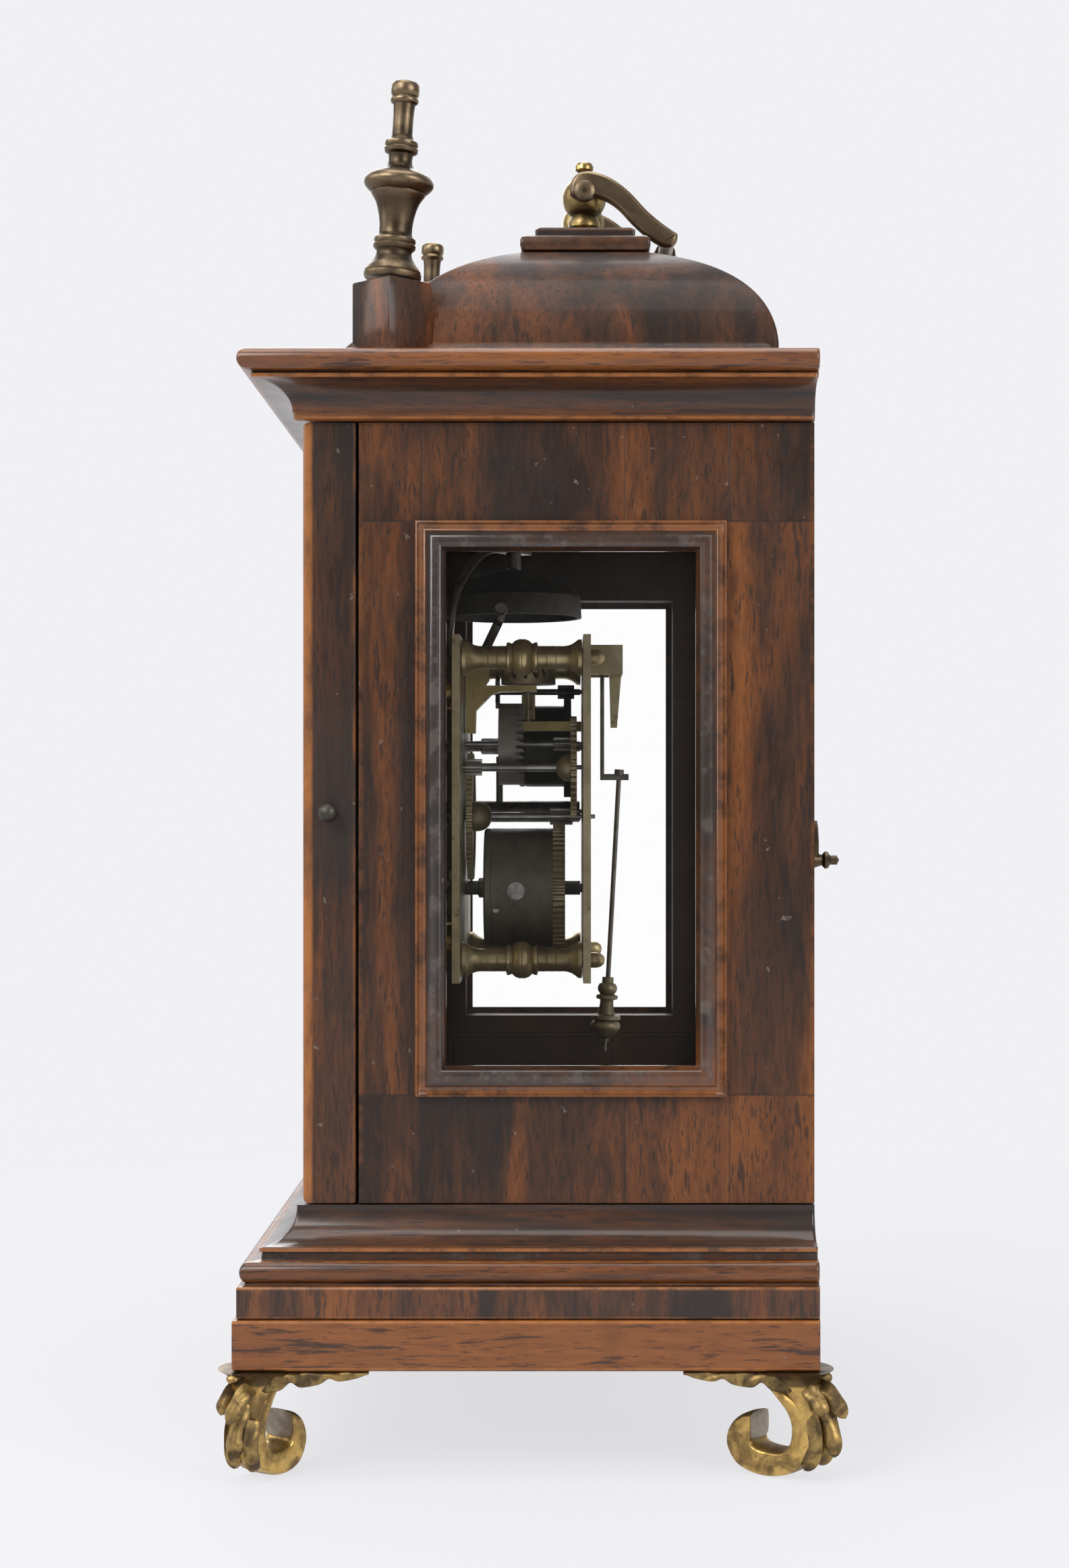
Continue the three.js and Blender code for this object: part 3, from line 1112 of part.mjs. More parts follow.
const toStar = ALARM_ANGLE;
const alarmBack = INSIDE_B - 3.4;
const alarmFront = alarmBack - ALARM_THICKNESS;
const alarmDrumFront = alarmFront - ALARM_DRUM_LENGTH;
piece(
  'alarm_barrel',
  cut(
    join(
      wheelSlab(ALARM_TEETH, ALARM_MODULE, toStar, alarmFront, alarmBack),
      turned([[0, alarmDrumFront], [ALARM_DRUM - 0.5, alarmDrumFront], [ALARM_DRUM, alarmDrumFront + 0.5], [ALARM_DRUM, alarmFront + 0.5], [0, alarmFront + 0.5]], 16),
    ),
    arborHole(ALARM_ARBOR + PLAY, alarmDrumFront, alarmBack),
  ),
  'brass',
  alarm.x,
  0,
  alarm.z,
);
piece('alarm_barrel_arbor', windingArbor(ALARM_ARBOR, alarmDrumFront, alarmBack, RATCHET_RADIUS * 0.8), 'steel', alarm.x, 0, alarm.z);
const starPoints = [];
for (let k = 0; k < 9; k += 1) {
  const a = (2 * Math.PI * k) / 9;
  starPoints.push(polar(STAR_RADIUS, a), polar(STAR_RADIUS - 2.2, a + 0.16));
}
piece(
  'alarm_arbor',
  join(
    pinionSlab(ALARM_LEAVES, ALARM_MODULE, toStar + Math.PI, alarmFront - 2, alarmBack + 1),
    slab(polygon(starPoints), INSIDE_A + 9, INSIDE_A + 10.4),
    turned(pivotEnds(INSIDE_A + 0.5, INSIDE_B - 0.5).map(([r, y]) => [Math.min(r, 1), y]), 6),
  ),
  'steel',
  star.x,
  0,
  star.z,
);
piece(
  'let_off_lever',
  join(
    turned([[0, PLATE_A + 0.3], [PIVOT, PLATE_A + 0.3], [PIVOT, INSIDE_A + 2.2], [LEVER_HUB, INSIDE_A + 2.2], [LEVER_HUB, INSIDE_B - 0.6], [PIVOT, INSIDE_B - 0.6], [PIVOT, PLATE_B - 0.3], [0, PLATE_B - 0.3]], 12),
    box(-1.4, 1.4, INSIDE_A + 9, INSIDE_A + 11.2, 0, LEVER_HEIGHT),
  ),
  'steel',
  lever.x,
  0,
  lever.z,
);

const bellY = INSIDE_A + BELL_BACK;
const rim = PLATE_HIGH + BELL_LIFT;
const crownTop = rim + BELL_HEIGHT;
const shell = (r, drop) => [
  [r, rim],
  [r - 0.3, rim + 6.4 - drop / 3],
  [r - 2, rim + 8.2 - drop * 0.6],
  [r - 7.4, rim + 12.4 - drop],
  [r - 13.6, crownTop - 0.6 - drop],
  [BELL_STUD + 0.5, crownTop - drop],
];
piece('bell', upright(turned([...shell(BELL_RADIUS, 0), ...shell(BELL_RADIUS - BELL_WALL, BELL_WALL).reverse(), [BELL_RADIUS, rim]], 18)), 'brass', 0, bellY, 0);
const standY = PLATE_A - FIT - STAND_THICKNESS / 2;
const standX = BELL_RADIUS + 2.5;
const standLine = [
  [standX, standY, PLATE_HIGH - 11, 0, -1, 0],
  [standX, standY, PLATE_HIGH + 3, 0, -1, 0],
  [standX - 0.4, standY + 2, rim + 6.5, 0.2, -1, 0.2],
  [standX - 5.5, standY + 7.4, crownTop + 2, 0.3, -0.6, 0.8],
  [BELL_RADIUS / 2 - 1.7, bellY - 5, crownTop + 5.6, 0, 0, 1],
  [0, bellY, crownTop + 6, 0, 0, 1],
  [-5, bellY + 2.6, crownTop + 6, 0, 0, 1],
].map(([x, y, z, ...out]) => ({ at: new THREE.Vector3(x, y, z), out: new THREE.Vector3(...out) }));
const strapRings = standLine.map(({ at, out }, i) => {
  const before = standLine[Math.max(0, i - 1)].at;
  const after = standLine[Math.min(standLine.length - 1, i + 1)].at;
  const along = after.clone().sub(before).normalize();
  const wide = along.clone().cross(out).normalize();
  const thick = wide.clone().cross(along).multiplyScalar(STAND_THICKNESS / 2);
  wide.multiplyScalar(STAND_WIDTH / 2);
  const corner = (w, t) => at.clone().addScaledVector(wide, w).addScaledVector(thick, t).toArray();
  return [corner(-1, -1), corner(1, -1), corner(1, 1), corner(-1, 1)];
});
const stud = upright(
  turned(
    [[0, crownTop - 4.4], [2.6, crownTop - 4.4], [2.6, crownTop - BELL_WALL - FIT], [BELL_STUD, crownTop - BELL_WALL - FIT], [BELL_STUD, crownTop + 0.6], [2.4, crownTop + 0.6], [2.4, crownTop + 5.6], [0, crownTop + 5.6]],
    8,
  ),
).translate(0, bellY, 0);
piece('bell_stand', join(loft(strapRings), stud), 'steel');

const headX = Math.sqrt(BELL_RADIUS ** 2 - 3.5 ** 2) + 0.7 - hammer.x;
const headZ = rim + 1 - hammer.z;
const headY = bellY - 3.5;
const hammerLine = [[0, headY - 5, 0], [0.8, headY - 4, 4], [headX + 2.2, headY - 0.6, headZ - 3], [headX + 2.4, headY, headZ]];
piece(
  'hammer',
  join(
    turned(pivotEnds(INSIDE_A + 0.5, INSIDE_B - 0.5).map(([r, y]) => [Math.min(r, 1.1), y]), 6),
    loft(hammerLine.map(([x, y, z]) => [[x - 1, y - 1.4, z], [x + 1, y - 1.4, z], [x + 1, y + 1.4, z], [x - 1, y + 1.4, z]])),
    loft([[headZ - 1.2, 1.6], [headZ + 1.8, 2.3]].map(([z, w]) => [[headX, headY - w, z], [headX + HAMMER_HEAD, headY - w, z], [headX + HAMMER_HEAD, headY + w, z], [headX, headY + w, z]])),
  ),
  'steel',
  hammer.x,
  0,
  hammer.z,
);

// The middle of the clock stands over the origin
const bounds = new THREE.Box3().setFromObject(clock, true);
clock.position.y = -(bounds.min.y + bounds.max.y) / 2;
clock.position.x = -(bounds.min.x + bounds.max.x) / 2;

export default clock;
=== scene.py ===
"""Table clock: the finished look of its case, metalwork and movement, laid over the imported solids."""

import math

import bpy
import numpy as np
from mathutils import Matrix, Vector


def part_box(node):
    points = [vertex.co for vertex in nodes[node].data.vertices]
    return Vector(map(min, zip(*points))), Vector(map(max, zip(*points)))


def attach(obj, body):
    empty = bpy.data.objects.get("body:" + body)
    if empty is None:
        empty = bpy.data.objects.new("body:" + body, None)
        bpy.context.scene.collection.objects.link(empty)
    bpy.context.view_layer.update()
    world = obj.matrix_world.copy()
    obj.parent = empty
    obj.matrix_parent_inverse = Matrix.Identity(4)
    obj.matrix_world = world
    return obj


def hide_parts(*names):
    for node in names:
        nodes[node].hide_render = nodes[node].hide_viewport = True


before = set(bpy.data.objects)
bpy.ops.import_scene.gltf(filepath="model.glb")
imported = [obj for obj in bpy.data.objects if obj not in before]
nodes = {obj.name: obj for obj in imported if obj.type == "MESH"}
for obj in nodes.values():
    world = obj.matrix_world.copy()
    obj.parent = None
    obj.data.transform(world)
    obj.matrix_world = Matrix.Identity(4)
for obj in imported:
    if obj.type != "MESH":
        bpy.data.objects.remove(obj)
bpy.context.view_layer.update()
PI = math.pi
TURN = 2 * PI
MM = 0.001

# Driving sizes in millimetres, about the middle of the case; heights count from 1.5 mm above the floor
RISE = 1.5
panel_low, panel_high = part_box("side_panel_right")
MIDDLE = np.array([0.0, (panel_low.y + panel_high.y) * 500, RISE])
HALF, BACK, FRONT, DOOR_FRONT = 102.5, 63.0, -63.0, -78.6
FOOT, BASE, TOP = 28.5, 71.0, 287.4
WINDOW_LOW, WINDOW_HIGH = (-40.8, 107.4), (32.1, 253.3)
FINIAL_X, FINIAL_Y = 93.9, -54.4
BLOCK_LOW, BLOCK_HIGH = 305.5, 327.5
POST_X, HANDLE_Z = 17.3, 369.1
FOOT_X, FOOT_FRONT, FOOT_TWIST = 120, -96.1, math.radians(10)
PILLAR_X, PILLAR_ROWS = 31, (("upper", 226.3), ("lower", 134.2))
CATCH = (96.5, BACK, 166)

# Places in the movement: front to back for the plates, (across, height) for the arbors
PLATE_A, INSIDE_A, PLATE_B, PLATE_HIGH = -39.8, -37.5, 1.8, 232.5
GREAT_MODULE, CENTRE_MODULE, THIRD_MODULE, ALARM_MODULE = 0.628, 0.605, 0.676, 0.667
THIRD_X, STAR_ANGLE, MINUTE_X = 15.5, 1.35, 12.0
CENTRE = (0.0, 177.8)
GREAT = (0.0, CENTRE[1] - 36 * GREAT_MODULE)
THIRD = (THIRD_X, CENTRE[1] + math.sqrt((36 * CENTRE_MODULE) ** 2 - THIRD_X**2))
CONTRATE = (0.0, THIRD[1] + math.sqrt((25.5 * THIRD_MODULE) ** 2 - THIRD_X**2))
VERGE = (0.0, CONTRATE[1] + 26.2)
ALARM = (-27.0, CENTRE[1] + 22.8)
STAR_WAY = 27 * ALARM_MODULE
STAR = (ALARM[0] + STAR_WAY * math.cos(STAR_ANGLE), ALARM[1] + STAR_WAY * math.sin(STAR_ANGLE))
LEVER = (-30.0, CENTRE[1] + 1.5)
HAMMER = (19.5, PLATE_HIGH - 3.4)

# Shapes


class Shell:
    """Gathers the closed skins of one piece: points in millimetres, faces and a wear value per point."""

    def __init__(self):
        self.points, self.faces, self.wear, self.count = [], [], [], 0

    def skin(self, grid, wear=0.0, ring=False):
        """Grid of points P[u, v]: four neighbours make a face; v closes on itself.

        With ring, u closes on itself too; otherwise the first and last rows get a flat lid.
        The faces are turned over if the volume summed from them is negative.
        """
        rows, across = grid.shape[:2]
        index = np.arange(rows * across).reshape(rows, across)
        here = index if ring else index[:-1]
        there = np.roll(index, -1, 0) if ring else index[1:]
        quads = np.stack([here, np.roll(here, -1, 1), np.roll(there, -1, 1), there], -1).reshape(-1, 4)
        lids = [] if ring else [index[0][::-1], index[-1]]
        points = grid.reshape(-1, 3)
        fans = [np.stack([np.full(across - 2, lid[0]), lid[1:-1], lid[2:]], -1) for lid in lids]
        corners = points[np.concatenate([quads[:, :3], quads[:, [0, 2, 3]], *fans])]
        if np.einsum("ij,ij->i", corners[:, 0], np.cross(corners[:, 1], corners[:, 2])).sum() < 0:
            quads, lids = quads[:, ::-1], [lid[::-1] for lid in lids]
        self.points.append(points)
        self.wear.append(np.broadcast_to(np.asarray(wear, float), (rows, across)).reshape(-1))
        self.faces += (quads + self.count).tolist() + [(lid + self.count).tolist() for lid in lids]
        self.count += rows * across
        return self


def around(count):
    """Equal angles round a circle."""
    return np.arange(count) * TURN / count


def squared(wave, power):
    """Wave pressed towards a square one: its size to a power, with its sign kept."""
    return np.sign(wave) * np.abs(wave) ** power


def between(table, at):
    """Rows of a table at places between them, column by column."""
    t = np.asarray(table, float)
    return np.column_stack([np.interp(at, np.arange(len(t)), column) for column in t.T])


def through(points, at):
    """Catmull-Rom curve through points, at places that count the points from nought."""
    p = np.asarray(points, float)
    k = np.concatenate([[2 * p[0] - p[1]], p, [2 * p[-1] - p[-2]]])
    i = np.clip(at.astype(int), 0, len(p) - 2)
    t = (at - i)[:, None]
    a, b, c, d = (k[i + j] for j in range(4))
    return (2 * b + (c - a) * t + (2 * a - 5 * b + 4 * c - d) * t**2 + (3 * b - a - 3 * c + d) * t**3) / 2


def fair(points, step=0.7, corner=42):
    """Profile drawn through points: a Catmull-Rom curve between corners, sampled about every step.

    A point is a corner where the line turns by more than the given degrees.
    """
    p = np.asarray(points, float)
    d = np.diff(p, axis=0)
    turns = np.degrees(np.abs(np.diff(np.unwrap(np.arctan2(d[:, 1], d[:, 0])))))
    marks = [0, *(np.nonzero(turns > corner)[0] + 1), len(p) - 1]
    runs = []
    for a, b in zip(marks[:-1], marks[1:]):
        counts = np.clip(np.linalg.norm(d[a:b], axis=1) / step, 1, 9).astype(int) if b - a > 1 else [1]
        at = np.concatenate([i + np.arange(n) / n for i, n in enumerate(counts)])
        runs.append(through(p[a : b + 1], at))
    return np.concatenate([*runs, p[-1:]])


def bent(*points):
    """Quadratic curve through a start, a control point and an end."""
    a, b, c = (np.array(q, float) for q in points)
    t = np.linspace(0, 1, 12)[:, None]
    return (1 - t) ** 2 * a + 2 * (1 - t) * t * b + t**2 * c


def arc(cx, cz, rx, rz, start, end, steps=14):
    """Points of an ellipse between two angles."""
    a = np.linspace(start, end, steps)
    return np.column_stack([cx + rx * np.cos(a), cz + rz * np.sin(a)])


def rubbed(profile, reach=5, depth=1.3):
    """Wear along a profile: how far each point stands out past the mean of its neighbours."""
    r = profile[:, 0]
    span = 2 * reach + 1
    mean = np.convolve(np.pad(r, reach, mode="edge"), np.ones(span) / span, mode="valid")
    return np.clip(0.45 + (r - mean) / depth, 0, 1)


def spun(p, axis, at, sides):
    """Rows of a profile (radius, place along the axis) carried round that axis in equal angles."""
    a = around(sides)
    r, t = p[:, :1], np.repeat(p[:, 1:], sides, 1)
    u, v = r * np.cos(a), r * np.sin(a)
    return np.stack({"x": (t, u, v), "y": (u, t, v), "z": (u, v, t)}[axis], -1) + np.asarray(at, float)


def turned(shell, profile, axis, at, sides=40, smooth=True, wear=None):
    """Turned piece: the profile goes round its axis, and its ends get flat lids."""
    p = fair(profile) if smooth else np.asarray(profile, float)
    p = np.column_stack([np.maximum(p[:, 0], 0.04), p[:, 1]])
    shade = rubbed(p) if wear is None else np.full(len(p), wear)
    return shell.skin(spun(p, axis, at, sides), shade[:, None])


def hollow(shell, profile, axis, at, sides=48, wear=0.4):
    """Turned ring: a closed profile goes round, and its ends meet."""
    return shell.skin(spun(np.asarray(profile, float), axis, at, sides), wear, ring=True)


def arbor(shell, profile, at, sides, wear=0.4, smooth=False):
    """Turned piece whose axis runs from front to back through a place (across, height)."""
    return turned(shell, profile, "y", (at[0], 0, at[1]), sides, smooth, wear)


def staff(shell, at, radius, back, sides):
    """Arbor between the plates: a pivot at either end of a stouter middle."""
    front_end = [[0, -39.5], [0.7, -39.5], [0.7, -37], [radius, -37]]
    return arbor(shell, [*front_end, [radius, back], [0.7, back], [0.7, 1.5], [0, 1.5]], at, sides)


def rounded(points):
    """Signs of a rectangle's four corners, and the angles of the quarter circle in each."""
    q = np.repeat(np.arange(4), points)
    a = np.tile(np.linspace(0, PI / 2, points), 4) + q * PI / 2
    return np.array([1, -1, -1, 1])[q], np.array([1, 1, -1, -1])[q], a


def moulded(shell, profile, side, front, back, back_share=0.0, corner=0.9):
    """Moulded block: each row of the profile (stand-out, height) is a rectangle with round corners.

    The back may be one place for all rows or one for each. Long flats get a row near each end, so wear
    stays on the arris. The end rows have no wear, so the lids stay plain.
    """
    p = np.asarray(profile, float)
    place = np.arange(len(p), dtype=float)
    span = np.linalg.norm(np.diff(p, axis=0), axis=1)
    long_flat, near_end = 2.4, 0.8
    flats = np.flatnonzero(span > long_flat)
    near = near_end / span[flats]
    at = np.sort(np.concatenate([place, flats + near, flats + 1 - near]))
    back = np.interp(at, place, np.broadcast_to(back, len(p)))
    p = between(p, at)
    out, z = p[:, :1], p[:, 1:]
    sx, sy, a = rounded(4)
    y1, y0 = back[:, None] + out * back_share, front - out
    x = sx * (side + out - corner) + corner * np.cos(a)
    y = np.where(sy > 0, y1 - corner, y0 + corner) + corner * np.sin(a)
    wear = rubbed(p, 1, 0.4)
    wear[[0, -1]] = 0.45
    return shell.skin(np.stack([x, y, np.repeat(z, 16, 1)], -1), wear[:, None])


def mitred(low, high, section):
    """Section (outward, depth) carried round a rectangle: across, up and depth, with mitred corners."""
    sx, sz = np.array([[-1], [1], [1], [-1]]), np.array([[-1], [-1], [1], [1]])
    across = np.where(sx < 0, low[0], high[0]) + sx * section[:, 0]
    up = np.where(sz < 0, low[1], high[1]) + sz * section[:, 0]
    return across, up, np.broadcast_to(section[:, 1], across.shape)


def carried(shell, path, frame_out, section, wear=0.4):
    """Section (out, across) carried along a path; out follows frame_out, across is square to both."""
    path = np.asarray(path, float)
    along = np.gradient(path, axis=0)
    along /= np.linalg.norm(along, axis=1, keepdims=True)
    wide = np.cross(along, np.broadcast_to(np.asarray(frame_out, float), path.shape))
    wide /= np.linalg.norm(wide, axis=1, keepdims=True)
    out = np.cross(wide, along)
    s = np.asarray(section, float)
    s = np.broadcast_to(s, (len(path), *s.shape[-2:]))
    return shell.skin(path[:, None] + s[..., :1] * out[:, None] + s[..., 1:] * wide[:, None], wear)


def oblong(thick, wide, power=0.35, points=20):
    """Closed section with rounded corners: a superellipse of the given thickness and width."""
    a = around(points)
    return np.column_stack([squared(np.cos(a), power) * thick / 2, squared(np.sin(a), power) * wide / 2])


def block(shell, low, high, ease):
    """Rectangular block with eased edges: rounded rectangles, the end ones drawn in by the easing."""
    low, high = np.asarray(low, float), np.asarray(high, float)
    mid, half = (low + high) / 2, (high - low) / 2
    sx, sy, a = rounded(3)
    draw = np.array([ease, ease * 0.3, 0, 0, ease * 0.3, ease])[:, None]
    rise = np.array([0, ease * 0.3, ease])
    z = np.concatenate([rise - half[2], half[2] - rise[::-1]])
    x = sx * (half[0] - ease - draw) + ease * np.cos(a)
    y = sy * (half[1] - ease - draw) + ease * np.sin(a)
    return shell.skin(np.stack([x, y, np.repeat(z[:, None], 12, 1)], -1) + mid, 0.35)


def in_teeth(teeth, per, phase=0.0):
    """Angles round a toothed wheel, and the place of each within its tooth, from nought to one."""
    n = np.arange(teeth * per)
    return phase + n * TURN / (teeth * per), (n / per) % 1


def wheel(shell, at, teeth, module, phase, y0, y1, inner, hub=0.0):
    """Wheel: a toothed rim between two faces, and where it is crossed out, four tapering arms to a hub.

    The rim's radius rises from root to tip by a power of a sine at each tooth.
    """
    a, p = in_teeth(teeth, 12, phase)
    rise = np.clip((0.31 - np.abs((p + 0.5) % 1 - 0.5)) / 0.2, 0, 1)
    r = teeth * module / 2 + module * (-1.35 + 2.3 * np.sin(rise * PI / 2) ** 1.4)
    c, s = np.cos(a), np.sin(a)
    e, bore = 0.12, np.full(len(r), inner)
    rows = [(r - e, y0), (r, y0 + e), (r, y1 - e), (r - e, y1), (bore, y1), (bore, y0)]
    grid = np.stack([np.stack([at[0] + q * c, np.full(len(q), y), at[1] + q * s], -1) for q, y in rows])
    shell.skin(grid, 0.4, ring=True)
    for k in range(4 if hub else 0):
        t = k * PI / 2 + 0.02
        along, over = np.array([math.cos(t), 0, math.sin(t)]), np.array([-math.sin(t), 0, math.cos(t)])
        d = np.linspace(hub * 0.5, inner + 0.3, 6)
        path = np.array([at[0], (y0 + y1) / 2, at[1]]) + d[:, None] * along
        u = (d - d[0]) / (d[-1] - d[0])
        width = 2 * (0.75 + 0.5 * (1 - u) ** 2 + 0.25 * u**4)
        section = oblong(1, 1, 0.2, 12) * np.column_stack([width, np.full(6, y1 - y0 - 0.1)])[:, None]
        carried(shell, path, over, section)
    return shell


def pinion(shell, at, leaves, module, phase, y0, y1, axis="y"):
    """Pinion: leaves cut along an arbor, each a rounded ridge, with a gap at the given phase."""
    a, p = in_teeth(leaves, 14, phase)
    rise = np.clip((0.27 - np.abs(p - 0.5)) / 0.2, 0, 1)
    r = leaves * module / 2 + module * (-1.15 + 1.65 * np.sin(rise * PI / 2))
    t = np.array([y0, y0 + 0.15, y1 - 0.15, y1])[:, None]
    q = r[None] - np.array([0.15, 0, 0, 0.15])[:, None]
    u, v = q * np.cos(a), q * np.sin(a)
    t = np.broadcast_to(t, u.shape)
    grid = np.stack((u, t, v) if axis == "y" else (u, v, t), -1)
    return shell.skin(grid + np.asarray(at if axis == "z" else (at[0], 0, at[1]), float), 0.4)


def crowned(shell, at, inner, outer, base, heights, angles, axis):
    """Ring whose one edge rises in teeth: heights give the edge at each angle; the section is oblong."""
    c, s = np.cos(angles), np.sin(angles)
    floor = np.full(len(heights), base)
    rows = [(inner, floor), (outer, floor), (outer, heights), (inner, heights)]
    lay = (lambda r, h: (r * c, h, r * s)) if axis == "y" else (lambda r, h: (r * c, r * s, h))
    grid = np.stack([np.stack(lay(r, h), -1) for r, h in rows]) + np.asarray(at, float)
    return shell.skin(grid, 0.45, ring=True)


def finish_piece(name, shell, material, body, stands_for=(), crease=32):
    """Puts a shell into a mesh in metres, with its wear as an attribute, and hangs it on its body."""
    points = (np.concatenate(shell.points) + MIDDLE) * MM
    mesh = bpy.data.meshes.new(name)
    mesh.from_pydata(points.tolist(), [], shell.faces)
    mesh.validate()
    wear = mesh.attributes.new("wear", "FLOAT", "POINT")
    wear.data.foreach_set("value", np.concatenate(shell.wear).astype(np.float32))
    mesh.shade_smooth()
    mesh.set_sharp_from_angle(angle=math.radians(crease))
    piece = bpy.data.objects.new(name, mesh)
    bpy.context.scene.collection.objects.link(piece)
    mesh.materials.append(material)
    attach(piece, body)
    if stands_for:
        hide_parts(*stands_for)
    return piece


def dress(names, material):
    """Gives kept solids their finish."""
    for name in names:
        mesh = nodes[name].data
        mesh.materials.clear()
        mesh.materials.append(material)


# Finishes


class Finish:
    """Node material with short calls for the nodes used here."""

    def __init__(self, name, **sockets):
        self.material = bpy.data.materials.new(name)
        self.material.use_nodes = True
        self.tree = self.material.node_tree
        self.tree.nodes.clear()
        self.out = self.tree.nodes.new("ShaderNodeOutputMaterial").inputs["Surface"]
        self.shader = self.tree.nodes.new("ShaderNodeBsdfPrincipled")
        self.tree.links.new(self.shader.outputs[0], self.out)
        for socket, value in sockets.items():
            self.shader.inputs[socket.replace("_", " ")].default_value = value
        self.object = self.tree.nodes.new("ShaderNodeTexCoord").outputs["Object"]

    def feed(self, socket, value):
        if isinstance(value, bpy.types.NodeSocket):
            self.tree.links.new(value, socket)
        else:
            socket.default_value = value

    def node(self, kind, inputs, output=0, **settings):
        made = self.tree.nodes.new("ShaderNode" + kind)
        for key, value in settings.items():
            setattr(made, key, value)
        for key, value in inputs.items():
            self.feed(made.inputs[key], value)
        return made.outputs[output]

    def mapped(self, scale, turn=(0, 0, 0), shift=(0, 0, 0)):
        inputs = {"Vector": self.object, "Scale": scale, "Rotation": turn, "Location": shift}
        return self.node("Mapping", inputs)

    def noise(self, vector, scale, detail, rough, warp=0.0):
        inputs = {"Vector": vector, "Scale": scale, "Detail": detail, "Roughness": rough, "Distortion": warp}
        return self.node("TexNoise", inputs)

    def sums(self, operation, a, b=0.0):
        return self.node("Math", {0: a, 1: b}, operation=operation)

    def plus(self, a, b):
        return self.sums("ADD", a, b)

    def minus(self, a, b):
        return self.sums("SUBTRACT", a, b)

    def times(self, a, b):
        return self.sums("MULTIPLY", a, b)

    def most(self, a, b):
        return self.sums("MAXIMUM", a, b)

    def gap(self, a, b):
        return self.sums("ABSOLUTE", self.minus(a, b))

    def spread(self, value, low, high, to_low=0.0, to_high=1.0):
        inputs = {"Value": value, "From Min": low, "From Max": high, "To Min": to_low, "To Max": to_high}
        return self.node("MapRange", inputs, interpolation_type="SMOOTHSTEP")

    def ramp(self, value, stops):
        made = self.tree.nodes.new("ShaderNodeValToRGB")
        band = made.color_ramp
        while len(band.elements) < len(stops):
            band.elements.new(0.5)
        for element, (place, colour) in zip(band.elements, stops):
            element.position = place
            element.color = (*colour, 1)
        self.feed(made.inputs[0], value)
        return made.outputs[0]

    def mix(self, share, a, b, mode="MIX"):
        a, b = ((*v, 1) if isinstance(v, tuple) and len(v) == 3 else v for v in (a, b))
        return self.node("Mix", {0: share, 6: a, 7: b}, 2, data_type="RGBA", blend_type=mode)

    def blend_vector(self, share, a, b):
        return self.node("Mix", {0: share, 4: a, 5: b}, 1, data_type="VECTOR")

    def worn(self):
        return self.node("Attribute", {}, 2, attribute_name="wear")

    def axis(self, name):
        return self.node("SeparateXYZ", {0: self.object}, name)

    def done(self, colour, rough, height, strength, distance):
        self.feed(self.shader.inputs["Base Color"], colour)
        self.feed(self.shader.inputs["Roughness"], rough)
        bump = self.node("Bump", {"Height": height, "Strength": strength, "Distance": distance})
        self.feed(self.shader.inputs["Normal"], bump)
        return self.material


BLACK_BROWN = (0.007, 0.005, 0.0044)
DARK = (0.02, 0.0092, 0.0054)
MIDDLING = (0.052, 0.0185, 0.0062)
WARM = (0.108, 0.034, 0.0082)
AMBER = (0.19, 0.061, 0.0115)
HONEY = (0.32, 0.112, 0.024)
DUST = (0.2, 0.17, 0.145)
HANDLED = (0.018, 0.0145, 0.0135)
BARE_INSIDE = (0.02, 0.011, 0.0072)
QUIRK = (BLACK_BROWN, (0.05, 0.036, 0.027))
# Greys painted on the window moulding's bevel: a painted sheen that stands for light reflected off it
BEVEL_SHEEN_GREYS = ((0.045, 0.036, 0.032), (0.095, 0.08, 0.07))


def figure(f, vector, flame, shift):
    """Veneer colour: broad, middling and thin noises add up to the tone; dark streaks, fibres and pores."""
    broad = f.noise(vector, flame * 0.9, 3.0, 0.5, 1.4)
    flames = f.noise(vector, flame * 4.2, 4.0, 0.6, 0.8)
    fibre = f.noise(vector, flame * 16, 4.0, 0.62, 0.3)
    tone = f.plus(f.times(broad, 0.62), f.times(flames, 0.26))
    tone = f.plus(f.plus(tone, f.times(fibre, 0.12)), shift)
    colour = f.ramp(tone, [(0.42, DARK), (0.487, MIDDLING), (0.555, WARM), (0.655, AMBER)])
    streak = f.spread(f.plus(f.times(flames, 0.5), f.times(fibre, 0.5)), 0.53, 0.61)
    colour = f.mix(f.times(streak, 0.78), colour, BLACK_BROWN)
    threads = f.ramp(fibre, [(0.34, (0.62, 0.58, 0.55)), (0.6, (1.16, 1.14, 1.1))])
    colour = f.mix(0.6, colour, threads, "MULTIPLY")
    pores = f.spread(f.noise(vector, flame * 34, 2.0, 0.5), 0.6, 0.67)
    return f.mix(f.times(pores, 0.55), colour, BLACK_BROWN), fibre, pores


def polished(name, coat):
    """Empty finish of old polish over wood."""
    return Finish(name, Coat_Weight=coat, Coat_Roughness=0.16, Specular_IOR_Level=0.25)


def grimed(f, colour, scale, low, high, share):
    """Colour darkened by a noise of grime, and that noise."""
    grime = f.noise(f.object, scale, 6.0, 0.65)
    return f.mix(f.spread(grime, low, high, 0.0, share), colour, BLACK_BROWN), grime


def specked(f, colour, scale, low, high, share):
    """Colour with fine specks of dust."""
    specks = f.spread(f.noise(f.object, scale, 3.0, 0.6), low, high)
    return f.mix(f.times(specks, share), colour, DUST)


def zone(f, low, high):
    """One between two heights of the case and nought outside them."""
    z = f.minus(f.axis("Z"), RISE * MM)
    over = f.spread(z, (low - 0.15) * MM, (low + 0.15) * MM)
    return f.times(over, f.spread(z, (high - 0.15) * MM, (high + 0.15) * MM, 1.0, 0.0))


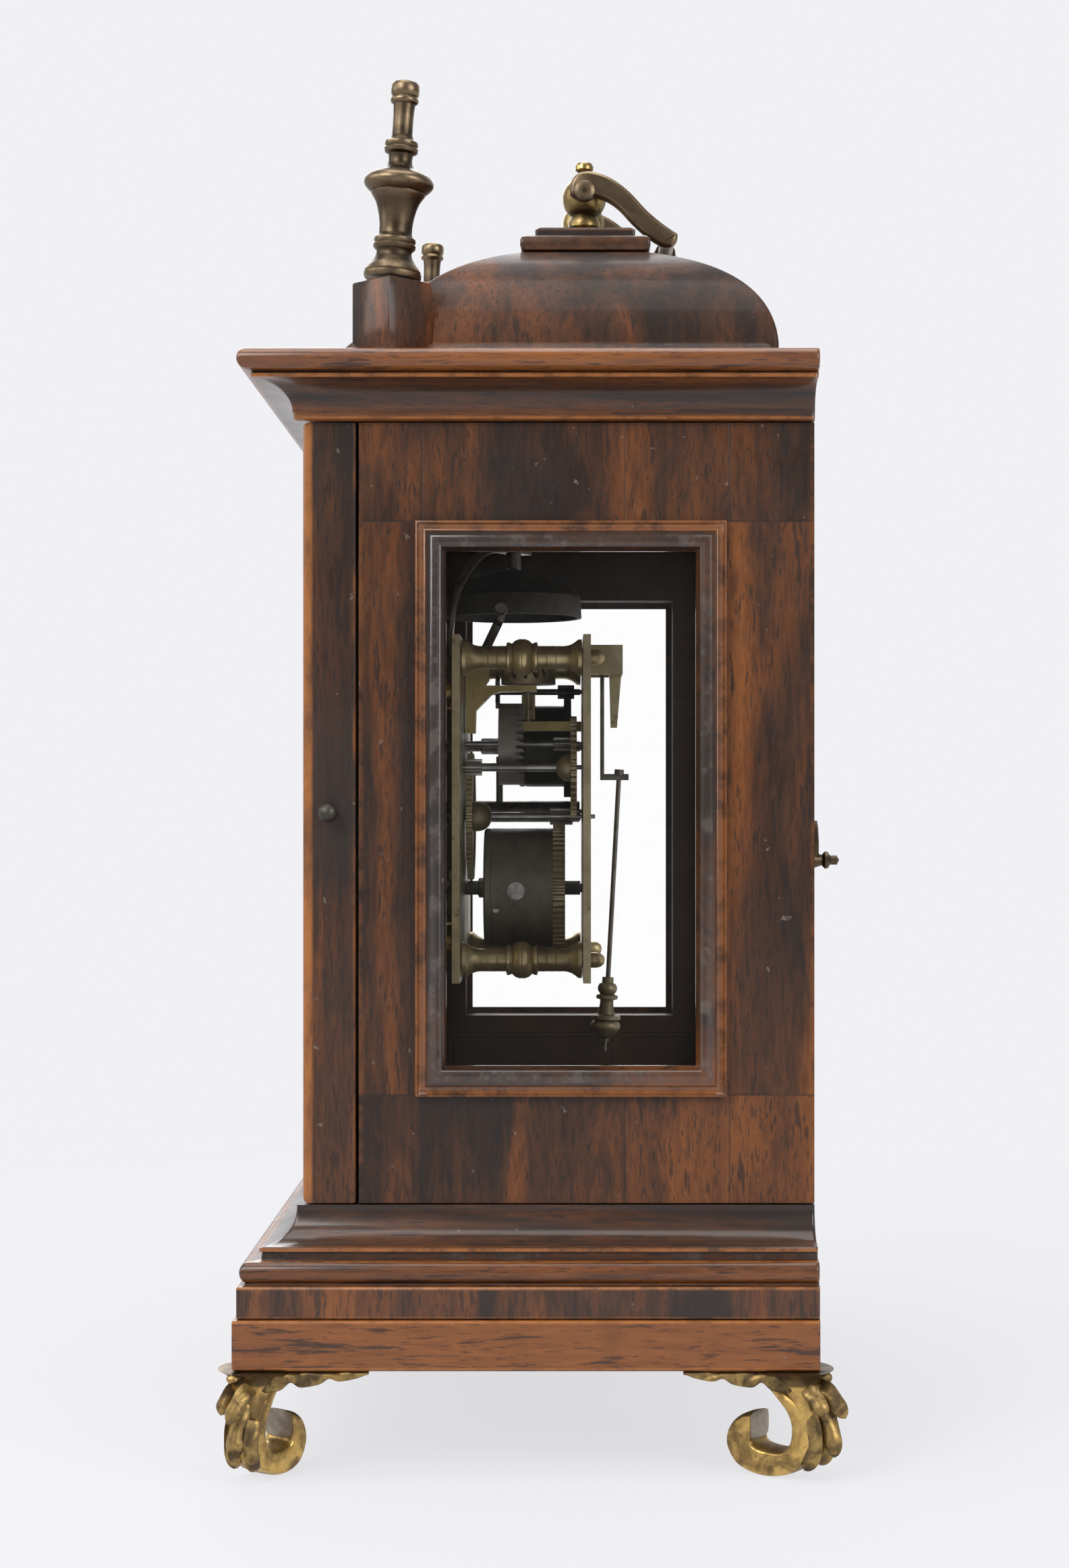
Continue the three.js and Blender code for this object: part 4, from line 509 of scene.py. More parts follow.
def veneer(
    name, stretch, turn=(0, 0, 0), shift=0.0, flame=40, edge=HONEY, rub=0.8, shine=0.4, coat=0.4,
    zones=(), cross=None, dust_and_sheen_tones=QUIRK,
):
    """Polished veneer: figure along the grain, tones by height, rubbed arrises, and the given tones where
    wear is low: dust in the quirks by default, a painted grey sheen on the window moulding's bevel.
    """
    f = polished(name, coat)
    grain = f.mapped(stretch, turn)
    if cross:
        grain = f.blend_vector(zone(f, *cross), grain, f.mapped((1, 1, 0.16), (0.35, 0, 0)))
    tone = shift
    for low, high, more in zones:
        tone = f.plus(f.times(zone(f, low, high), more), tone)
    colour, fibre, pores = figure(f, grain, flame, tone)
    colour, grime = grimed(f, colour, 26.0, 0.57, 0.74, 0.4)
    chips = f.noise(f.object, 130.0, 5.0, 0.7)
    edges = f.times(f.spread(f.worn(), 0.56, 0.9), f.spread(chips, 0.34, 0.58, 0.2, 1.0))
    colour = f.mix(f.times(edges, rub), colour, edge)
    # Low wear takes the given tones: dust in the quirks by default, a painted grey sheen on the window
    # moulding's bevel
    dust_and_sheen_mask = f.times(f.spread(f.worn(), 0.03, 0.2, 1.0, 0.0), f.spread(chips, 0.42, 0.62, 0.3, 0.85))
    colour = f.mix(dust_and_sheen_mask, colour, f.mix(f.spread(chips, 0.5, 0.62), *dust_and_sheen_tones))
    colour = specked(f, colour, 310.0, 0.72, 0.77, 0.5)
    rough = f.spread(grime, 0.35, 0.7, shine, shine + 0.2)
    return f.done(colour, rough, f.minus(f.times(fibre, 0.5), pores), 0.15, 0.0002)


def panel_veneer(name):
    """Side panel: upright grain that leans in the rails, butt joints, darker front stile and rubbed edges."""
    f = polished(name, 0.3)
    top_joint, low_joint = 0.2597, 0.1011
    y = f.minus(f.axis("Y"), MIDDLE[1] * MM)
    z = f.minus(f.axis("Z"), RISE * MM)
    above = f.spread(z, top_joint - 0.0001, top_joint + 0.0001)
    rail = f.most(above, f.spread(z, low_joint - 0.0001, low_joint + 0.0001, 1.0, 0.0))
    leaning = f.mapped((1, 1, 0.2), (-0.3, 0, 0), (0.3, 0.1, 0.4))
    grain = f.blend_vector(rail, f.mapped((1, 1, 0.15), (0.16, 0, 0)), leaning)
    tilt = f.minus(f.times(f.spread(y, -0.03, 0.045), 0.1), f.times(above, 0.008))
    colour, fibre, pores = figure(f, grain, 36.0, f.minus(tilt, 0.035))
    seams = 0.0
    for at in (top_joint, low_joint):
        seams = f.most(f.spread(f.gap(z, at), 0.0, 0.0005, 1.0, 0.0), seams)
    for at in (-0.0455, 0.0105, 0.0395):
        seams = f.most(f.times(f.spread(f.gap(y, at), 0.0, 0.00045, 1.0, 0.0), rail), seams)
    colour = f.mix(f.times(seams, 0.55), colour, BLACK_BROWN)
    colour, grime = grimed(f, colour, 24.0, 0.55, 0.75, 0.55)
    chips = f.noise(f.object, 160.0, 5.0, 0.7)
    edge = f.times(f.spread(f.gap(y, 0.0), 0.0612, 0.0629), f.spread(chips, 0.42, 0.6))
    colour = f.mix(f.times(edge, 0.4), colour, AMBER)
    colour = specked(f, colour, 300.0, 0.69, 0.75, 0.55)
    inside = f.spread(f.gap(f.axis("X"), 0.0), 0.0985, 0.1005, 1.0, 0.0)
    colour = f.mix(f.times(inside, 0.9), colour, BARE_INSIDE)
    height = f.minus(f.minus(f.times(fibre, 0.5), pores), f.times(seams, 2.5))
    return f.done(colour, f.spread(grime, 0.35, 0.7, 0.4, 0.62), height, 0.25, 0.0003)


def door_veneer(name):
    """Door: dark upright grain, paler solid strips down its flanks' arrises, a handled patch at the knob."""
    f = polished(name, 0.4)
    y = f.minus(f.axis("Y"), MIDDLE[1] * MM)
    colour, fibre, _ = figure(f, f.mapped((1, 1, 0.13), (0.06, 0, 0), (0.2, 0.3, 0)), 48.0, -0.01)
    reach = f.plus(f.gap(f.axis("Z"), 0.184), f.times(f.noise(f.object, 60.0, 4.0, 0.6), 0.03))
    colour = f.mix(f.spread(reach, 0.025, 0.06, 0.75, 0.0), colour, HANDLED)
    chips = f.noise(f.mapped((1, 1, 0.3)), 120.0, 5.0, 0.7)
    flank = f.spread(f.gap(f.axis("X"), 0.0), 0.1002, 0.1012)
    strip = f.times(f.spread(y, -0.0766, -0.0754, 1.0, 0.0), flank)
    colour = f.mix(f.times(strip, f.spread(chips, 0.3, 0.6, 0.25, 0.85)), colour, HONEY)
    back = f.spread(y, -0.0652, -0.0642)
    colour = f.mix(f.times(back, f.spread(chips, 0.4, 0.62, 0.0, 0.7)), colour, AMBER)
    colour, grime = grimed(f, colour, 28.0, 0.52, 0.74, 0.6)
    colour = specked(f, colour, 290.0, 0.69, 0.75, 0.5)
    return f.done(colour, f.spread(grime, 0.35, 0.7, 0.4, 0.62), fibre, 0.15, 0.0003)


def metal(name, bright, dull, deep, rough, grain, rub, pits=0.25, bare=1.0):
    """Old metal: a noise mixes bright with dull; wear clears the tops, and dark stays in hollows and pits."""
    f = Finish(name, Metallic=bare)
    cloud = f.noise(f.object, grain, 6.0, 0.62, 0.4)
    fine = f.noise(f.object, 900.0, 3.0, 0.6)
    colour = f.mix(f.spread(cloud, 0.36, 0.64), bright, dull)
    clean = f.spread(f.plus(f.worn(), f.times(cloud, 0.35)), 0.35, 0.72)
    colour = f.mix(f.times(f.minus(1.0, clean), rub), colour, deep)
    spots = f.spread(f.noise(f.object, grain * 3.6, 4.0, 0.65), 0.6, 0.72)
    colour = f.mix(f.times(spots, 0.6), colour, deep)
    dullness = f.plus(f.spread(cloud, 0.3, 0.7, *rough), f.times(fine, 0.08))
    return f.done(colour, dullness, f.plus(fine, f.times(cloud, 0.6)), pits, 0.00018)


def clear_glass(name):
    """Thin old pane: nearly clear, with a faint wave in its surface and a little dust."""
    f = Finish(name, Specular_IOR_Level=0.5)
    wave = f.noise(f.object, 22.0, 2.0, 0.5)
    dust = f.spread(f.noise(f.object, 240.0, 4.0, 0.6), 0.55, 0.8, 0.006, 0.02)
    f.feed(f.shader.inputs["Alpha"], dust)
    colour = f.mix(f.spread(wave, 0.3, 0.7), (0.3, 0.33, 0.32), (0.4, 0.42, 0.4))
    return f.done(colour, f.spread(wave, 0.3, 0.7, 0.02, 0.06), wave, 0.05, 0.0005)


wood_side = panel_veneer("walnut_panel")
wood_door = door_veneer("walnut_door")
wood_band = veneer(
    "walnut_crossbanding", (1, 0.1, 1), shift=-0.02, flame=44, coat=0.6, cross=(42.2, 51.4),
    zones=[(28, 42.2, 0.17), (42.2, 51.4, 0.04), (60, 72, -0.055)],
)
wood_moulding = veneer(
    "walnut_moulding", (1, 0.1, 1), shift=-0.02, flame=44, coat=0.7,
    zones=[(299.4, 306, 0.17), (289, 298.2, 0.07), (287, 289, 0.1)],
)
# The window moulding's bevel gets painted grey sheen tones in place of dusty quirks
wood_frame = veneer(
    "walnut_window_moulding", (0.5, 0.16, 0.16), shift=-0.06, edge=(0.24, 0.083, 0.022), shine=0.28, coat=1.0,
    dust_and_sheen_tones=BEVEL_SHEEN_GREYS,
)
wood_dome = veneer(
    "walnut_dome", (1, 1, 0.24), (0.6, 0.3, 0), shift=-0.005, flame=30, rub=0.3, shine=0.55, coat=0.12
)
wood_cap = veneer("dark_cap", (0.2, 0.2, 1), shift=-0.14, rub=0.25)
wood_block = veneer("walnut_block", (1, 1, 0.3), shift=-0.05, edge=(0.2, 0.12, 0.08), rub=0.6, shine=0.5)

# Bright, dull and deep colour, range of roughness, grain, rub, and where given pits and bare metal
METALS = {
    "plate_brass": ((0.6, 0.5, 0.3), (0.4, 0.33, 0.19), (0.07, 0.054, 0.03),
        (0.34, 0.55), 70, 0.35, 0.25, 0.6),
    "pillar_brass": ((0.6, 0.48, 0.25), (0.42, 0.335, 0.175), (0.12, 0.093, 0.05),
        (0.28, 0.46), 60, 0.3, 0.25, 0.7),
    "bright_brass": ((0.6, 0.45, 0.17), (0.45, 0.335, 0.13), (0.09, 0.066, 0.03),
        (0.3, 0.48), 80, 0.3, 0.25, 0.6),
    "barrel_brass": ((0.23, 0.2, 0.155), (0.17, 0.148, 0.115), (0.1, 0.086, 0.068),
        (0.45, 0.62), 60, 0.3, 0.12, 0.2),
    # Near-black colours for the far alarm barrel: painted shade for the dark far side of the movement
    "painted_shade_drum": ((0.07, 0.06, 0.047), (0.045, 0.039, 0.031), (0.02, 0.017, 0.014),
        (0.4, 0.6), 70, 0.3, 0.25, 0.4),
    # Near black where wear is low, with a rub of 0.97: this paints shade on the bell's crown
    "bell_metal": ((0.09, 0.075, 0.057), (0.05, 0.042, 0.033), (0.008, 0.007, 0.006),
        (0.4, 0.58), 80, 0.97, 0.25, 0.3),
    "dull_steel": ((0.4, 0.365, 0.31), (0.3, 0.27, 0.23), (0.13, 0.115, 0.1),
        (0.4, 0.58), 90, 0.3, 0.25, 0.2),
    "lead": ((0.85, 0.83, 0.8), (0.55, 0.53, 0.5), (0.2, 0.19, 0.175),
        (0.45, 0.65), 420, 0.3, 0.8, 0.3),
    "worn_bronze": ((0.4, 0.345, 0.28), (0.26, 0.215, 0.165), (0.1, 0.08, 0.06),
        (0.3, 0.5), 150, 0.3, 0.25, 0.7),
    "finial_bronze": ((0.235, 0.17, 0.1), (0.125, 0.09, 0.058), (0.04, 0.028, 0.019),
        (0.26, 0.42), 90, 0.75, 0.1),
    "bob_brass": ((0.3, 0.245, 0.14), (0.19, 0.155, 0.09), (0.06, 0.047, 0.028),
        (0.32, 0.5), 110, 0.5, 0.25, 0.6),
    "ball_brass": ((0.42, 0.3, 0.115), (0.2, 0.14, 0.06), (0.04, 0.028, 0.014),
        (0.22, 0.4), 120, 0.6),
    "gilt_bronze": ((0.66, 0.43, 0.135), (0.2, 0.128, 0.052), (0.05, 0.034, 0.02),
        (0.28, 0.5), 130, 0.85, 0.35, 0.9),
    "leaf_bronze": ((0.38, 0.25, 0.09), (0.1, 0.068, 0.036), (0.028, 0.02, 0.013),
        (0.32, 0.55), 200, 0.85, 0.35, 0.9),
    "grey_steel": ((0.5, 0.475, 0.44), (0.3, 0.28, 0.255), (0.08, 0.07, 0.06),
        (0.26, 0.42), 130, 0.3, 0.25, 0.8),
    "dark_steel": ((0.2, 0.18, 0.155), (0.11, 0.098, 0.085), (0.035, 0.03, 0.025),
        (0.3, 0.46), 130, 0.6, 0.25, 0.9),
    "blued_steel": ((0.05, 0.07, 0.13), (0.03, 0.04, 0.07), (0.012, 0.012, 0.015),
        (0.25, 0.4), 100, 0.3),
    "silvered_ring": ((0.72, 0.71, 0.67), (0.6, 0.58, 0.52), (0.25, 0.22, 0.18),
        (0.4, 0.6), 90, 0.2),
    "matted_brass": ((0.55, 0.42, 0.19), (0.42, 0.31, 0.13), (0.1, 0.07, 0.03),
        (0.45, 0.62), 160, 0.2, 0.7),
    "black_wax": ((0.02, 0.02, 0.02), (0.012, 0.012, 0.012), (0.006, 0.006, 0.006),
        (0.5, 0.7), 200, 0.2),
}
metals = {name: metal(name, *values) for name, values in METALS.items()}
brass, steel, dark_steel = (metals[name] for name in ("plate_brass", "grey_steel", "dark_steel"))
bronze, worn, gilt = (metals[name] for name in ("finial_bronze", "worn_bronze", "gilt_bronze"))
glass = clear_glass("old_glass")

dress(["side_panel_right", "side_panel_left"], wood_side)
dress(["rear_door"], wood_door)
dress(["side_glass_right", "side_glass_left", "front_glass", "rear_glass"], glass)
dress(["front_plate", "back_plate", "back_cock"], brass)
dress(["front_potence", "rear_potence"], metals["bright_brass"])
dress(["dial_plate"], metals["matted_brass"])
dress(["chapter_ring"], metals["silvered_ring"])
dress(["hour_hand", "minute_hand"], metals["blued_steel"])
dress(["barrel_arbor", "alarm_barrel_arbor", "click"], steel)

# Case

band = FOOT + 13.6
plinth_line = np.concatenate(
    [
        [[3.5, BASE - 12], [3.5, FOOT + 0.6], [4, FOOT], [16.9, FOOT], [17.5, FOOT + 0.6]],
        [[17.5, band - 0.6], [17.1, band], [16.0, band + 0.2], [16.4, band + 0.6], [16.4, band + 8.4]],
        [[16.0, band + 8.9], [14.4, band + 9.2], [14.4, band + 9.6]],
        arc(13.5, band + 12.5, 2.2, 2.9, -1.3, 1.3),
        [[10.3, band + 15.6], [10.1, band + 17.3], [10.8, band + 17.6]],
        [[10.8, band + 18.5], [10.4, band + 18.8]],
        arc(10.2, BASE - 1, 8.7, BASE - 1 - band - 18.8, -PI / 2, -PI),
        [[1.5, BASE]],
    ]
)
# The first three rows line the hollow below the plinth and stop short of its back
rear = np.where(np.arange(len(plinth_line)) < 3, BACK - 14, BACK)
plinth = moulded(Shell(), plinth_line, HALF, DOOR_FRONT, rear)
finish_piece("plinth_mouldings", plinth, wood_band, "case", ["plinth"])

cornice_line = np.concatenate(
    [
        [[1.6, TOP], [2.4, TOP + 0.5], [2.4, TOP + 2]],
        arc(11.8, TOP + 2.2, 9.2, 8, PI, PI / 2),
        [[13.0, TOP + 10.2], [13.0, TOP + 11.2], [12.5, TOP + 11.8]],
        arc(14.0, TOP + 15, 2.4, 2.8, -1.2, PI / 2),
    ]
)
cornice = moulded(Shell(), cornice_line, HALF, DOOR_FRONT, BACK)
finish_piece("cornice_mouldings", cornice, wood_moulding, "case", ["cornice"])

t = np.linspace(0, 1, 28)[:, None]
cushion = (1 - t) ** 3 * [-1.0, 311.2] + 3 * (1 - t) ** 2 * t * [-2.4, 328.2]
cushion = cushion + 3 * (1 - t) * t**2 * [-17.8, 337.7] + t**3 * [-35.8, 343.7]
dome = moulded(Shell(), np.concatenate([[[-1, 305.6]], cushion]), HALF - 8, -55, 55, 1.0, 1.4)
skirt = [[-0.3, 305.5], [0, 305.8], [0, 306.6], [-4, 310.8], [-4.6, 311.1], [-8, 311.2]]
moulded(dome, skirt, HALF - 4.5, FRONT - 7, BACK - 8, 1.0, 1.2)
finish_piece("dome_cushion", dome, wood_dome, "case", ["dome"])

cap_line = [[-1.8, 344], [-0.4, 344.6], [0, 345.9], [0, 347.5], [-0.4, 348.4], [-1.2, 348.9]]
cap_line += [[-4.4, 348.9], [-4.4, 351.4], [-5.2, 352.1]]
cap = moulded(Shell(), cap_line, 58.7, -19.2, 19.2, 1.0, 0.8)
finish_piece("dome_plinth", cap, wood_cap, "case", ["dome_cap"])

face = HALF + 0.3
ovolo = np.concatenate(
    [
        [[-2.0, face], [6.6, face], [6.6, face + 1.5]],
        arc(6.1, face + 1.6, 0.5, 0.7, 0.1, PI - 0.6, 6),
        arc(4.6, face + 3.3, 1.4, 1.5, -0.5, -PI + 0.9, 8),
        [[3.35, face + 2.9], [3.3, face + 3.3]],
        arc(1.0, face + 1.9, 2.2, 1.7, 0.9, PI - 0.35, 14),
        [[-1.6, face + 1.7], [-2.0, face + 1.2]],
    ]
)
# Wear from the window outwards: plain lip, bevel with a painted grey sheen, rubbed outer round
WEAR_AT = [-2, -1.2, -0.9, 2.9, 3.3, 3.6, 5.4, 5.7, 6.7]
ovolo_wear_and_sheen = np.interp(ovolo[:, 0], WEAR_AT, [0.4, 0.4, 0.1, 0.1, 0.3, 0.85, 0.9, 0.95, 0.95])
for side, sign in (("right", 1), ("left", -1)):
    y, z, x = mitred(WINDOW_LOW, WINDOW_HIGH, ovolo)
    moulding = Shell().skin(np.stack([sign * x, y, z], -1), ovolo_wear_and_sheen[None], ring=True)
    finish_piece(f"window_frame_{side}", moulding, wood_frame, "case", [f"window_moulding_{side}"])

# Finials on their blocks, ball posts and the handle

FINIAL = np.array(
    [
        [0, 0], [7.7, 0], [8.1, 0.6], [8.1, 1.6], [7.7, 1.9], [7.9, 2.3], [7.4, 3.2], [6.2, 4.6],
        [5.2, 6.2], [4.9, 7.4], [5.2, 8.1], [5.9, 8.7], [6, 9.5], [5.6, 10], [5.9, 10.5], [5.8, 11.3],
        [5, 11.9], [4.7, 12.8], [4.7, 15.2], [5.2, 18.4], [6.2, 21.6], [7.6, 23.8], [7.6, 24.2],
        [8.9, 25.2], [9.8, 26.4], [9.8, 27.3], [9.2, 28.3], [7.4, 29.5], [4.8, 30.6], [3.6, 31.9],
        [3.3, 33.6], [3.5, 35], [4.6, 35.6], [4.8, 36.5], [4.4, 37.1], [4.7, 37.6], [4.6, 38.4],
        [3.4, 39.2], [2.9, 40.4], [2.9, 46], [3.1, 49], [3.8, 49.5], [4, 50.2], [3.7, 50.8], [3.5, 51.2],
        [3.9, 51.7], [4, 53], [3.9, 54.3], [3.5, 55], [2.6, 55.4], [0, 55.6],
    ]
)
POST = np.concatenate(
    [
        [[0, -16.7], [5.4, -16.7], [5.4, -15.6], [4.6, -14.6], [3.2, -13], [3, -10.2], [4.9, -9]],
        [[4.9, -7.6], [4.4, -6.4]],
        arc(0, 0, 6.8, 6.8, -0.95, 1.3, 8),
        [[1.7, 8], [2.8, 8.8], [2.9, 9.8], [2.4, 10.8], [1.2, 11.2], [0, 11.2]],
    ]
)
EIGHTH = np.array([[1, 1], [-1, 1]]) * math.sqrt(0.5)
for side, sign, lean, share in (("right", 1, 0.07, 1), ("left", -1, 0.035, 0.93)):
    x, y = sign * FINIAL_X, FINIAL_Y
    stand = block(Shell(), (-8, -8, BLOCK_LOW), (8, 8, BLOCK_HIGH), 0.6)
    p = stand.points[0]
    stand.points[0] = np.column_stack([p[:, :2] @ EIGHTH + (x, y), p[:, 2]])
    finish_piece(f"corner_block_{side}", stand, wood_block, "case", [f"finial_block_{side}"])
    vase = turned(Shell(), FINIAL * (1, share), "z", (0, 0, 0))
    c, s = math.cos(lean), math.sin(lean)
    tilted = vase.points[0] @ np.array([[1, 0, 0], [0, c, -s], [0, s, c]])
    vase.points[0] = tilted + (x, y, BLOCK_HIGH + 0.3 + FINIAL[2, 0] * s)
    finish_piece(f"vase_finial_{side}", vase, bronze, "case", [f"finial_{side}"], 45)
    ball = turned(Shell(), POST, "z", (sign * POST_X, 0, HANDLE_Z))
    posts = [f"handle_post_{side}"]
    finish_piece(f"ball_post_{side}", ball, metals["ball_brass"], "case", posts, 45)

# Outline of the handle's arm: ends and control points of its curves, as (back, up) from the pivot
ARM = [
    (-4.4, -1), (-5, 6), (1, 6.2), (9, 5.6), (16.5, -3), (21, -8.4), (28.5, -13), (28.8, -16), (26.5, -17),
    (24, -17.4), (22.5, -16.2), (17, -13), (12, -7), (8, -2.6), (3, -1.6), (0, -4.6), (-4.4, -1),
]
arm_edge = np.concatenate([bent(*ARM[k : k + 3])[:-1] for k in range(0, 16, 2)])
along = np.roll(arm_edge, -1, 0) - np.roll(arm_edge, 1, 0)
inward = np.column_stack([along[:, 1], -along[:, 0]])
CHAMFER = 1.1
inward *= CHAMFER / np.linalg.norm(inward, axis=1, keepdims=True)
ARM_ROWS = [(24.4, 1), (24.7, 0.4), (25.5, 0), (27.3, 0), (28.1, 0.4), (28.4, 1)]
ARM_WEAR = np.array([[0.34], [0.95], [0.55], [0.55], [0.95], [0.34]])
pivot = (0, 0, HANDLE_Z)
handle = Shell()
for sign in (1, -1):
    rows = [np.column_stack([np.full(len(arm_edge), sign * x), arm_edge + k * inward]) for x, k in ARM_ROWS]
    handle.skin(np.stack(rows) + pivot, ARM_WEAR)
    stub = np.array([[0, 19], [1.6, 19], [1.6, 25], [0, 25]])[::sign] * (1, sign)
    turned(handle, stub, "x", pivot, 24)
    cap_end = [[0, 28.2], [3.1, 28.2], [3.1, 28.9], [2.2, 29.4], [0, 29.5]] * np.array((1, sign))
    turned(handle, cap_end, "x", pivot, 24)
half_bar = np.array([[3.7, 1], [3.3, 3.4], [2.4, 5.6], [3.2, 6.6], [3.2, 7.4], [2.3, 9], [2.3, 25], [0, 25]])
turned(handle, np.concatenate([half_bar[::-1] * (1, -1), half_bar]), "x", (0, 25.5, 354.5), 28)
finish_piece("folding_handle", handle, bronze, "handle", ["carrying_handle"], 40)

# Scroll feet

# Inner and outer edge of the scroll's strap on the diagonal, as (out, height), from its root to its cut end
STRAP = np.array(
    [
        [-17.4, 25.6, -17.0, 26.8], [-12.6, 21.9, -10.4, 24.2], [-9.4, 18.9, -5.2, 20.8],
        [-7.8, 15, -1.9, 15.4], [-8.2, 10.6, -1.9, 8.9], [-10.3, 7.9, -6.2, 2.9], [-13, 7.4, -12.4, 0.3],
        [-16.6, 7.6, -19, 0], [-18.6, 8, -25, 2], [-19.4, 8.4, -28.2, 6.4], [-19.7, 8.6, -28.3, 10.4],
        [-19.9, 8.8, -26.4, 13.8], [-20.1, 9, -23.6, 15.9], [-20.2, 9.2, -20.2, 16.8],
    ]
)
# Neck above the scroll: height, outer end, inner end and half width of each ellipse
NECK = np.array(
    [
        [29.7, 1.6, -19, 10.5], [28.4, -0.4, -17.5, 8], [26.6, -1.5, -15, 6.4], [24.6, -1.6, -12.6, 5.6],
        [22.2, -1, -9.6, 5.3], [19.6, -0.6, -7.6, 5.1], [17, -0.9, -6.6, 4.9], [14, -2, -6, 4.4],
    ]
)
# Leaves: path on the diagonal, half width, thickness and shift aside
LEAVES = [
    ([[-3.4, 25.2], [0.2, 23.8], [3, 20.6], [5.4, 17.4]], 3, 2, 2.4),
    ([[-3.4, 24.8], [-0.6, 23.2], [1, 20.8], [2, 18.4]], 2.6, 1.8, -3.2),
    ([[-2.6, 22], [0.2, 17.6], [1.8, 12], [2.4, 6.6]], 2.9, 2.1, 1.6),
    ([[-3, 18.6], [-1.4, 13], [-1.8, 7.6], [-4.4, 3]], 2.4, 1.9, -2.8),
    ([[-3, 17], [-1.4, 12], [-1.8, 7], [-4.6, 3.4]], 2.4, 1.9, 4.2),
    ([[-2.6, 29], [0, 29.1], [1.4, 28.5], [2.2, 27.4]], 2.2, 0.9, 0),
]
FOOT_TOP = 29.7


def strap_edge(knots, reach):
    """One edge of the strap: a fair line sampled evenly between its knots, its far part drawn in."""
    line = fair(knots, 0.5, 170)
    place = [int(np.argmin(np.linalg.norm(line - k, axis=1))) for k in knots]
    edge = between(line, np.interp(np.linspace(0, len(knots) - 1, 110), np.arange(len(knots)), place))
    edge[:, 0] += np.minimum(edge[:, 0] + 9, 0) * (reach - 1)
    return edge


def leaf(shell, path, width, thick, aside):
    """Leaf: its half width swells as a sine, dips once and ends in an ellipse; a rib and veins lie on top."""
    p = fair(path, 0.6, 170)
    u = np.linspace(0, 1, len(p))
    d = np.gradient(p, axis=0)
    d /= np.linalg.norm(d, axis=1, keepdims=True)
    n = np.column_stack([-d[:, 1], d[:, 0]])
    tip = np.sqrt(np.clip(1 - np.clip((u - 0.66) / 0.34, 0, 1) ** 2, 0.003, 1))
    swell = (0.72 + 0.28 * np.sin(PI * u)) * tip
    scallop = 1 - 0.22 * np.abs(np.sin(PI * u)) ** 6
    cos, sin = np.cos(around(28)), np.sin(around(28))
    across = width * (swell * scallop)[:, None] * cos + aside
    rib = 0.5 * thick * np.exp(-((cos / 0.16) ** 2)) * (sin > 0)
    vein = 0.22 * thick * np.cos(TURN * u[:, None] + 2.5 * np.abs(cos)) * np.clip(sin, 0, 1)
    lift = swell[:, None] * (sin * thick + rib + vein - 0.5 * thick * cos**2)
    z = np.clip(p[:, 1:] + lift * n[:, 1:], 0.0, FOOT_TOP)
    wear = 0.5 + 0.3 * sin + 0.3 * rib / thick
    shell.skin(np.stack([p[:, :1] + lift * n[:, :1], across, z], -1), wear[None])


def spread_leaf(shell, side):
    """Leaf along the plinth's edge: it thins away from the corner, and its lower edge is cut in lobes."""
    along, inward = math.sqrt(0.5) * np.array([[-1, side], [-1, -side]])
    reach, lobes = 37, 3.5
    d = np.linspace(2.5, reach, 64)
    q = d / reach
    high = (6.2 * (1 - q) ** 0.9 + 1.2) * (1 - 0.35 * np.abs(np.sin(PI * lobes * q)) ** 8)
    cos, sin = np.cos(around(20)), np.sin(around(20))
    o = 0.4 + (8 - 4 * q)[:, None] * (0.5 - 0.5 * squared(cos, 0.6))
    o = o + 0.45 * np.cos(TURN * lobes * q[:, None] + 3 * sin) * (cos > 0.3)
    z = FOOT_TOP - high[:, None] * (0.5 - 0.5 * squared(sin, 0.6))
    flat = d[:, None, None] * along + np.maximum(o, 0.1)[..., None] * inward
    shell.skin(np.concatenate([flat, z[..., None]], -1), (0.5 + 0.4 * cos)[None])


def swung(shells, angle, about, to):
    """Turns shells about an upright line and moves them to a place."""
    c, s = math.cos(angle), math.sin(angle)
    for shell in shells:
        shell.points = [(q - about) @ np.array([[c, s, 0], [-s, c, 0], [0, 0, 1]]) + to for q in shell.points]


